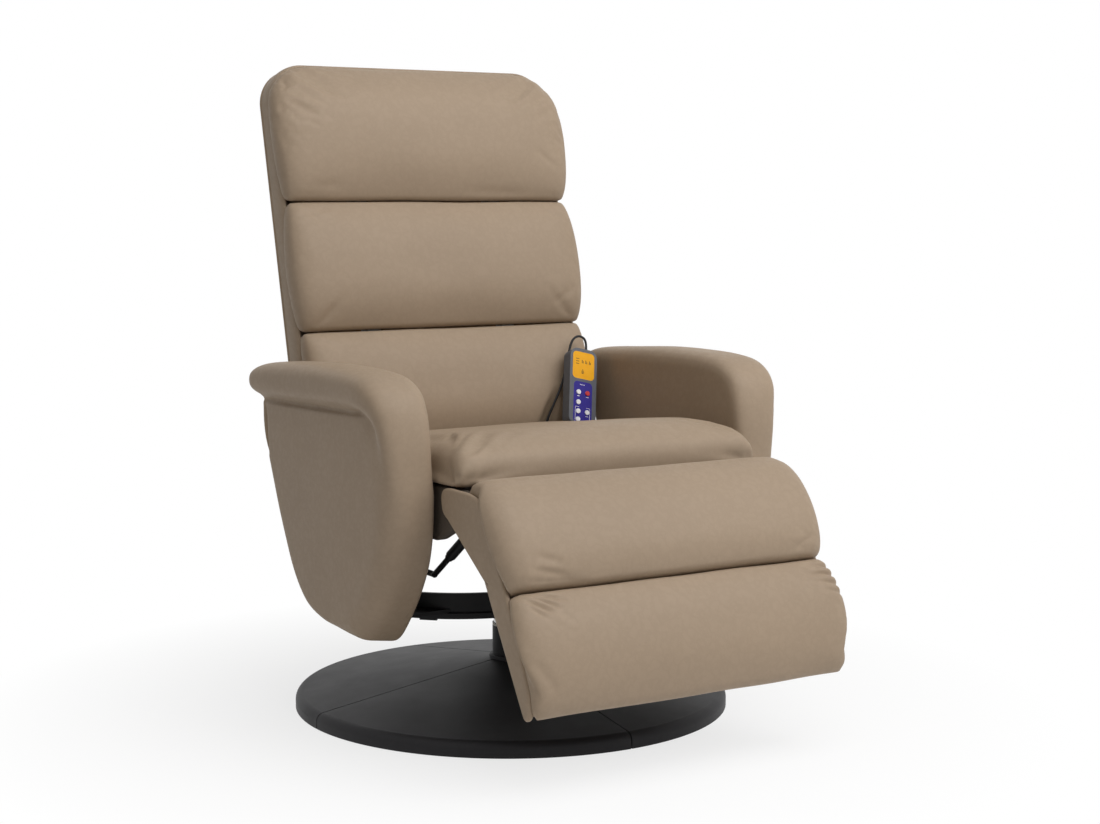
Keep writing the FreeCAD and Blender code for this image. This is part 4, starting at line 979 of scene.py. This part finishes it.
def slab_rings(points, low, high, low_rounds, high_rounds, low_crown, high_crown):
    """Rings of (u, v, depth) for a slab with rounded edges and slightly crowned faces."""
    inward = inward_normals(points)
    centre = points.mean(axis=0)
    rings = []
    for side, face, crown, rounds in ((-1, low, low_crown, low_rounds), (1, high, high_crown, high_rounds)):
        radius = np.broadcast_to(np.array(rounds, float), (len(points),))[:, None]
        edge = points + inward * radius
        part = []
        for i in range(SLAB_SHRINK):
            share = 0.08 + 0.92 * i / SLAB_SHRINK
            depth = np.full((len(points), 1), face + side * crown * (1 - share * share))
            part.append(np.hstack([centre + (edge - centre) * share, depth]))
        for i in range(SLAB_STEPS + 1):
            turn = math.pi / 2 * i / SLAB_STEPS
            depth = face - side * radius * (1 - math.cos(turn))
            part.append(np.hstack([points + inward * radius * (1 - math.sin(turn)), depth]))
        rings += part if side < 0 else part[::-1]
    return rings


def resampled(outline, count):
    """The same closed outline with evenly spaced points."""
    points = np.array(list(outline) + [outline[0]], float)
    steps = np.concatenate([[0], np.cumsum(np.linalg.norm(np.diff(points, axis=0), axis=1))])
    wanted = np.linspace(0, steps[-1], count, endpoint=False)
    return np.stack([np.interp(wanted, steps, points[:, k]) for k in range(2)], axis=1)


def board_outline(low_u, high_u, low_v, high_v, corner, count):
    """A rectangle with round corners."""
    corners = ((high_u - corner, high_v - corner, 0), (low_u + corner, high_v - corner, 90),
               (low_u + corner, low_v + corner, 180), (high_u - corner, low_v + corner, 270))
    path = []
    for u, v, start in corners:
        turns = [math.radians(start) + math.radians(a) for a in range(0, 91, 15)]
        path += [(u + corner * math.cos(t), v + corner * math.sin(t)) for t in turns]
    return resampled(path, count)


def wrapped_board(name, outline, low, high, rounds, crown, place):
    rings = slab_rings(outline, low, high, rounds, rounds, crown, crown)
    return loft(name, [[place(*point) for point in ring] for ring in rings])


# %% Leg board, leg side covers, seat box sides and apron
leg_panel = wrapped_board("leg_board_cover", board_outline(-263, 263, 1, 251, 10, 200),
                          0.6, 14.4, 6.0, 0.0, on_leg)
declare(leg_panel, "leg_rest", ["leg_board"], 1.0)

leg_side_rear = [(45, 0.8), (95, 0.6), (170, 0.6), (238, 0.6), (253, 2)]
hinge_round = [(-381, 374), (-362, 392), (-336, 399), (-305, 400), (-272, 399.5), (-259, 392), (-258, 376),
               (-263, 363), (-275, 355), (-296, 348), (-320, 341), (-341, 331), (-357, 315)]
side_front, side_rear = ([tuple(on_leg(0, along, out)[1:]) for along, out in line]
                         for line in (leg_side_front, leg_side_rear))
leg_side_outline = resampled(flowing(side_front + hinge_round + side_rear, 6, closed=True), 220)
seat_side_outline = resampled([(-299, 354), (-296, 350), (-230, 319), (-222, 317), (66, 317), (71, 322),
                               (71, 392), (66, 397), (-294, 397), (-299, 392)], 160)
for side, name in ((-1, "leg_side_right"), (1, "leg_side_left")):
    cover = wrapped_board(name, leg_side_outline, 261.2, 269.5, 4.0, 1.0,
                          lambda u, v, depth: (side * depth, u, v))
    declare(cover, fill=1.0)
    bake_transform(cover)
for side, name, nodes in ((-1, "seat_side_right", ["seat_side_boards"]), (1, "seat_side_left", [])):
    panel = wrapped_board(name, seat_side_outline, 240.2, 259.5, 4.0, 1.0,
                          lambda u, v, depth: (side * depth, u, v))
    # Painted shade: the seat box sides take the dark brown cloth, coloured like the shadow they sit in
    # between arm, cushion and leg rest.
    panel.data.materials[0] = finishes["lining"]
    declare(panel, "seat", nodes, 1.0)
apron = wrapped_board("seat_apron", board_outline(-238, 238, 356, 399, 3, 160), 299.2, 301.4, 0.8, 0.0,
                      lambda u, v, depth: (u, -depth, v))
declare(apron, "seat")

# %% [markdown]
# ## Arms
# Each arm is a board with its cover pulled over a bolster along the top. The bolster bends down at the
# front and melts into the rounded front edge, so the whole arm is built as one skin: a rounded slab and
# a bolster, joined by a voxel remesh and relaxed until the blend is soft but the crease stays.

# %% Arm outline and bolster sections, in shares of the arm's length and height
ARM_INNER = 268.5
ARM_FRONT, ARM_LENGTH = -246.0, 428.0
ARM_FOOT, ARM_HEIGHT = 167.0, 390.0
BOLSTER_WIDE = 95.5
BOLSTER_STEPS = 48


def on_arm(y_share, z_share):
    return (ARM_FRONT + ARM_LENGTH * y_share, ARM_FOOT + ARM_HEIGHT * z_share)


arm_shares = [(0.985, 0.895), (0.7, 0.92), (0.42, 0.93), (0.2, 0.915), (0.085, 0.85), (0.024, 0.74),
              (0.002, 0.61), (0.003, 0.49), (0.014, 0.38), (0.044, 0.272), (0.106, 0.158),
              (0.184, 0.062), (0.262, -0.004), (0.335, -0.006), (0.43, 0.008), (0.54, 0.026),
              (0.63, 0.056), (0.7, 0.11), (0.765, 0.19), (0.825, 0.298), (0.877, 0.405), (0.926, 0.525),
              (0.967, 0.63), (0.994, 0.715), (1.0, 0.8)]
arm_outline = resampled(flowing([on_arm(*share) for share in arm_shares], 8, closed=True), 240)

# Each row: inner low y and z, inner high y and z, and how wide the bolster is.
bolster_shares = [(1.054, 0.88, 1.054, 0.925, 0.66), (1.058, 0.862, 1.058, 0.952, 0.92),
                  (1.005, 0.842, 1.005, 0.976, 0.99), (0.85, 0.844, 0.85, 0.99, 1.0),
                  (0.71, 0.846, 0.71, 1.0, 1.0), (0.57, 0.849, 0.57, 1.006, 1.0),
                  (0.43, 0.854, 0.42, 1.007, 1.0), (0.27, 0.858, 0.245, 1.002, 1.0),
                  (0.165, 0.85, 0.13, 0.982, 0.985), (0.105, 0.812, 0.05, 0.92, 0.925),
                  (0.082, 0.735, 0.014, 0.808, 0.855), (0.08, 0.62, 0.004, 0.64, 0.79),
                  (0.088, 0.5, 0.014, 0.5, 0.75), (0.115, 0.4, 0.045, 0.39, 0.68)]


def bolster_ring(low_y, low_z, high_y, high_z, width):
    """Rounded section of the arm bolster: flatter and deeper towards the sitter, full outside."""
    low, high = np.array(on_arm(low_y, low_z)), np.array(on_arm(high_y, high_z))
    wide = width * BOLSTER_WIDE
    middle, rise = (low + high) / 2, (high - low) / 2
    ring = []
    for i in range(BOLSTER_STEPS):
        turn = 2 * math.pi * i / BOLSTER_STEPS
        across, upward = math.cos(turn), math.sin(turn)
        power = 0.72 if across > 0 else 0.5
        x = ARM_INNER + wide / 2 + wide / 2 * math.copysign(abs(across) ** power, across)
        sitter_low = across < 0 and upward < 0 and low_y < 0.9
        deeper = 1 + 1.6 * min(1.0, -2 * across) if sitter_low else 1.0
        spot = middle + rise * deeper * math.copysign(abs(upward) ** 0.78, upward)
        ring.append((x, spot[0], spot[1]))
    return ring


def flowing_rings(rings, per_span):
    """More rings between the given ones, along smooth lines from ring to ring."""
    lines = [flowing(spots, per_span) for spots in zip(*rings)]
    return [list(ring) for ring in zip(*lines)]


# %% Arm slab: one rounded board, softer towards its front
def arm_rings(outer):
    front = np.clip((-40.0 - arm_outline[:, 0]) / 110.0, 0, 1)
    return slab_rings(arm_outline, ARM_INNER, outer, 9.0 + 3.0 * front, 9.0 + 28.0 * front, 1.0, 2.5)


def toe_sink(y, z, depth):
    """How much lower the toe hangs on the sitter's side."""
    inner = 1 - (depth - ARM_INNER) / 80.0
    return 11.0 * inner * math.exp(-((y + 125) / 70.0) ** 2) * min(1.0, max(0.0, (270 - z) / 90.0))


# %% Join slab and bolster into one skin per arm
ARM_GROOVE = [(0, 192, 492, 0, 60, 494, 3.5, 6.0), (0, 110, 493, 0, -60, 497, 3.5, 7.0),
              (0, 0, 495, 0, -185, 500, 3.5, 7.0)]
POCKET_MOUTH = [(0, 167, 484, 0, 161, 408, 3.0, 11.0)]
SOFT_ROUNDS = 60


def join_pieces(target, other):
    work = bmesh.new()
    work.from_mesh(target.data)
    work.from_mesh(other.data)
    work.to_mesh(target.data)
    work.free()
    bpy.data.objects.remove(other)


def ramp(value, start, full):
    """0 before start, 1 past full, smooth between."""
    share = np.clip((value - start) / (full - start), 0, 1)
    return share * share * (3 - 2 * share)


def bend_zone(p):
    """The outside of the bolster where it bends down into the front edge."""
    outside = ramp(np.abs(p[:, 0]), 300, 335) * ramp(-p[:, 1], 105, 150)
    return outside * ramp(-p[:, 2], -512, -478) * ramp(p[:, 2], 240, 280)


def sitter_zone(p):
    """The arm's inner face under the bolster."""
    return ramp(-np.abs(p[:, 0]), -300, -285) * ramp(-p[:, 2], -535, -505) * ramp(p[:, 2], 380, 410)


def soften(piece, zone):
    """Relax the points by the weight the zone gives each one, in ten steps of strength."""
    group = piece.vertex_groups.new(name="soft")
    level = np.round(zone(places_of(piece)) * 10).astype(int)
    for step in range(1, 11):
        group.add([int(i) for i in np.nonzero(level == step)[0]], step / 10, "REPLACE")
    add_relax(piece, SOFT_ROUNDS).vertex_group = "soft"
    swap_mesh(piece, evaluated_copy(piece))
    piece.vertex_groups.clear()


def make_arm(name, side, outer, grooves, nodes):
    rings = [[(side * d, y, z - toe_sink(y, z, d)) for y, z, d in ring] for ring in arm_rings(outer)]
    slab = loft(name, rings)
    rows = flowing_rings([bolster_ring(*row) for row in bolster_shares], 4)
    join_pieces(slab, loft(name + "_roll", [[(side * x, y, z) for x, y, z in ring] for ring in rows]))
    even_skin(slab, voxel=3.2, rounds=3)
    for zone in (bend_zone, sitter_zone):
        soften(slab, zone)
    settle(slab, amount=0.8, wave=170.0, seed=41)
    press_folds(slab, (side, 0, 0), grooves)
    declare(slab, "seat", nodes, 0.9)


make_arm("arm_right", -1, 347.5, ARM_GROOVE + POCKET_MOUTH,
         ("arm_panel_right", "arm_roll_right", "side_pocket"))
make_arm("arm_left", 1, 341.0, ARM_GROOVE, ("arm_panel_left", "arm_roll_left"))

# %% [markdown]
# ## Back cover
# Behind the pads the back is a rigid shell with leather pulled over it. A boxing strip runs round its
# edge, up one side, over the top corners and down the other, and a thin piping covers the seam where
# strip and rear panel meet. Both follow one outline of the back.

# %% Boxing strip and piping
BACK_HALF, BACK_LOW, BACK_HIGH, BACK_CORNER = 264.5, -166.0, 448.5, 62.0
PIPING_MARGIN, PIPING_OUT, PIPING_RADIUS = 1.4, -53.6, 3.0


def back_edge(margin):
    """The back's outline as an open line: up the right side, over the top, down the left side."""
    half, high, radius = BACK_HALF - margin, BACK_HIGH - margin, BACK_CORNER - margin
    rise = [(-half, along) for along in np.linspace(BACK_LOW, high - radius, 40)]
    rise += [(-half + radius * (1 - math.cos(t)), high - radius + radius * math.sin(t))
             for t in np.linspace(0.1, math.pi / 2, 14)]
    top = [(x, high) for x in np.linspace(-half + radius, half - radius, 34)[1:-1]]
    return rise + top + [(-x, along) for x, along in reversed(rise)]


def back_sweep(name, section):
    """Sweep a closed section of (margin from the outline, out of the back) round the back's edge."""
    lines = [back_edge(margin) for margin, _ in section]
    outs = [out for _, out in section]
    return loft(name, [[on_back(*spot, out) for spot, out in zip(spots, outs)] for spots in zip(*lines)])


strip = [(0.4, -52), (-1.0, -40), (-1.4, -28), (-0.6, -18), (1.6, -12), (5.0, -10), (7.0, -14), (5.6, -22),
         (4.8, -52)]
piping = [(PIPING_MARGIN + PIPING_RADIUS * math.cos(t), PIPING_OUT + PIPING_RADIUS * math.sin(t))
          for t in np.linspace(0, 2 * math.pi, 12, endpoint=False)]
declare(back_sweep("back_boxing", flowing(strip, 3, closed=True)), "backrest", fill=1.0)
declare(back_sweep("back_piping", piping), "backrest")

# %% [markdown]
# ## Handset face
# The handset is a grey moulding with an amber window over a blue keypad. Its window shows a few level
# bars and its keypad a frame and tick marks beside the buttons, printed in white. They are thin raised
# shapes, so that they are still there when the mesh is used without its materials.

# %% Printed marks on the handset
HANDSET_FOOT = np.array((192.0, 98.0, 422.4))
HANDSET_OUT = np.array((0.0, -0.9397, 0.3420))
HANDSET_UP = np.array((0.2419, 0.3319, 0.9118))
HANDSET_RIGHT = np.array((0.9703, -0.0827, -0.2273))
FACE_OUT = 11.0
MARK_RAISED = 0.25
BAR_FACES = ((3, 2, 1, 0), (4, 5, 6, 7), (0, 1, 5, 4), (1, 2, 6, 5), (2, 3, 7, 6), (3, 0, 4, 7))


def on_handset(x, along, out):
    return HANDSET_FOOT + HANDSET_RIGHT * x + HANDSET_UP * along + HANDSET_OUT * out


def printed_bars(name, bars, finish):
    """Thin raised bars, each (x, along, width, height), on the handset's face."""
    points, faces = [], []
    for x, along, width, height in bars:
        first = len(points)
        for depth in (FACE_OUT, FACE_OUT + MARK_RAISED):
            points += [on_handset(x + dx * width / 2, along + dy * height / 2, depth)
                       for dx, dy in ((-1, -1), (1, -1), (1, 1), (-1, 1))]
        faces += [tuple(first + i for i in face) for face in BAR_FACES]
    piece = new_piece(name, points, faces, finish, smooth=False)
    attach(piece, "seat")


level_bars = [(-13 + 2.6 * (i % 2), 117 - 4.4 * (i // 2), 4.2 - 1.2 * (i % 2), 0.9) for i in range(6)]
level_bars += [(-3 + 7.0 * column + 2.0 * stroke, 113 - stroke, 0.9, 6.0 - 2 * stroke)
               for column in range(3) for stroke in range(2)]
level_bars += [(-1.5, 92 + 2.1 * i, 5.0 - 1.6 * abs(i - 1), 0.9) for i in range(4)]
keypad_ticks = [(-5 + 2.4 * i, 71.5, 1.2, 1.6) for i in range(4)]
keypad_ticks += [(side * 8.6, along - 7.0, 5.0, 0.8) for side, along in ((-1, 57.8), (1, 57.8), (1, 23.8))]
for side in (-1, 1):
    keypad_ticks += [(side * 14.0, 18, 0.6, 26.0), (side * 10.5, 31.5, 7.0, 0.6)]
printed_bars("window_level_bars", level_bars, "black_steel")
printed_bars("keypad_marks", keypad_ticks, "button_white")
print("printed marks:", len(level_bars) + len(keypad_ticks))

# %% [markdown]
# ## Hard parts
# The base covers, the hoop, the links and the handset keep their CAD shapes, which are already right. Each
# gets the finish that the record's material slot names, except the seat's cross boards, which take the dark
# cloth whose brown is painted shade.

# %% Give every carried-over node its finish
slot_of = {row["node"]: row["material_slot"] for row in frame["record"]["subparts"]}
# Painted shade: the cross boards' front face sits in shadow under the seat, so it takes the dark cloth.
slot_of["seat_cross_boards"] = "lining"
for name, node in frame["nodes"].items():
    node.data.materials.clear()
    node.data.materials.append(finishes[slot_of[name]])
print("finished nodes:", len(slot_of))

handset_lead.data.materials.append(finishes["rubber"])
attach(handset_lead, "seat")
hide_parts("handset_cord")
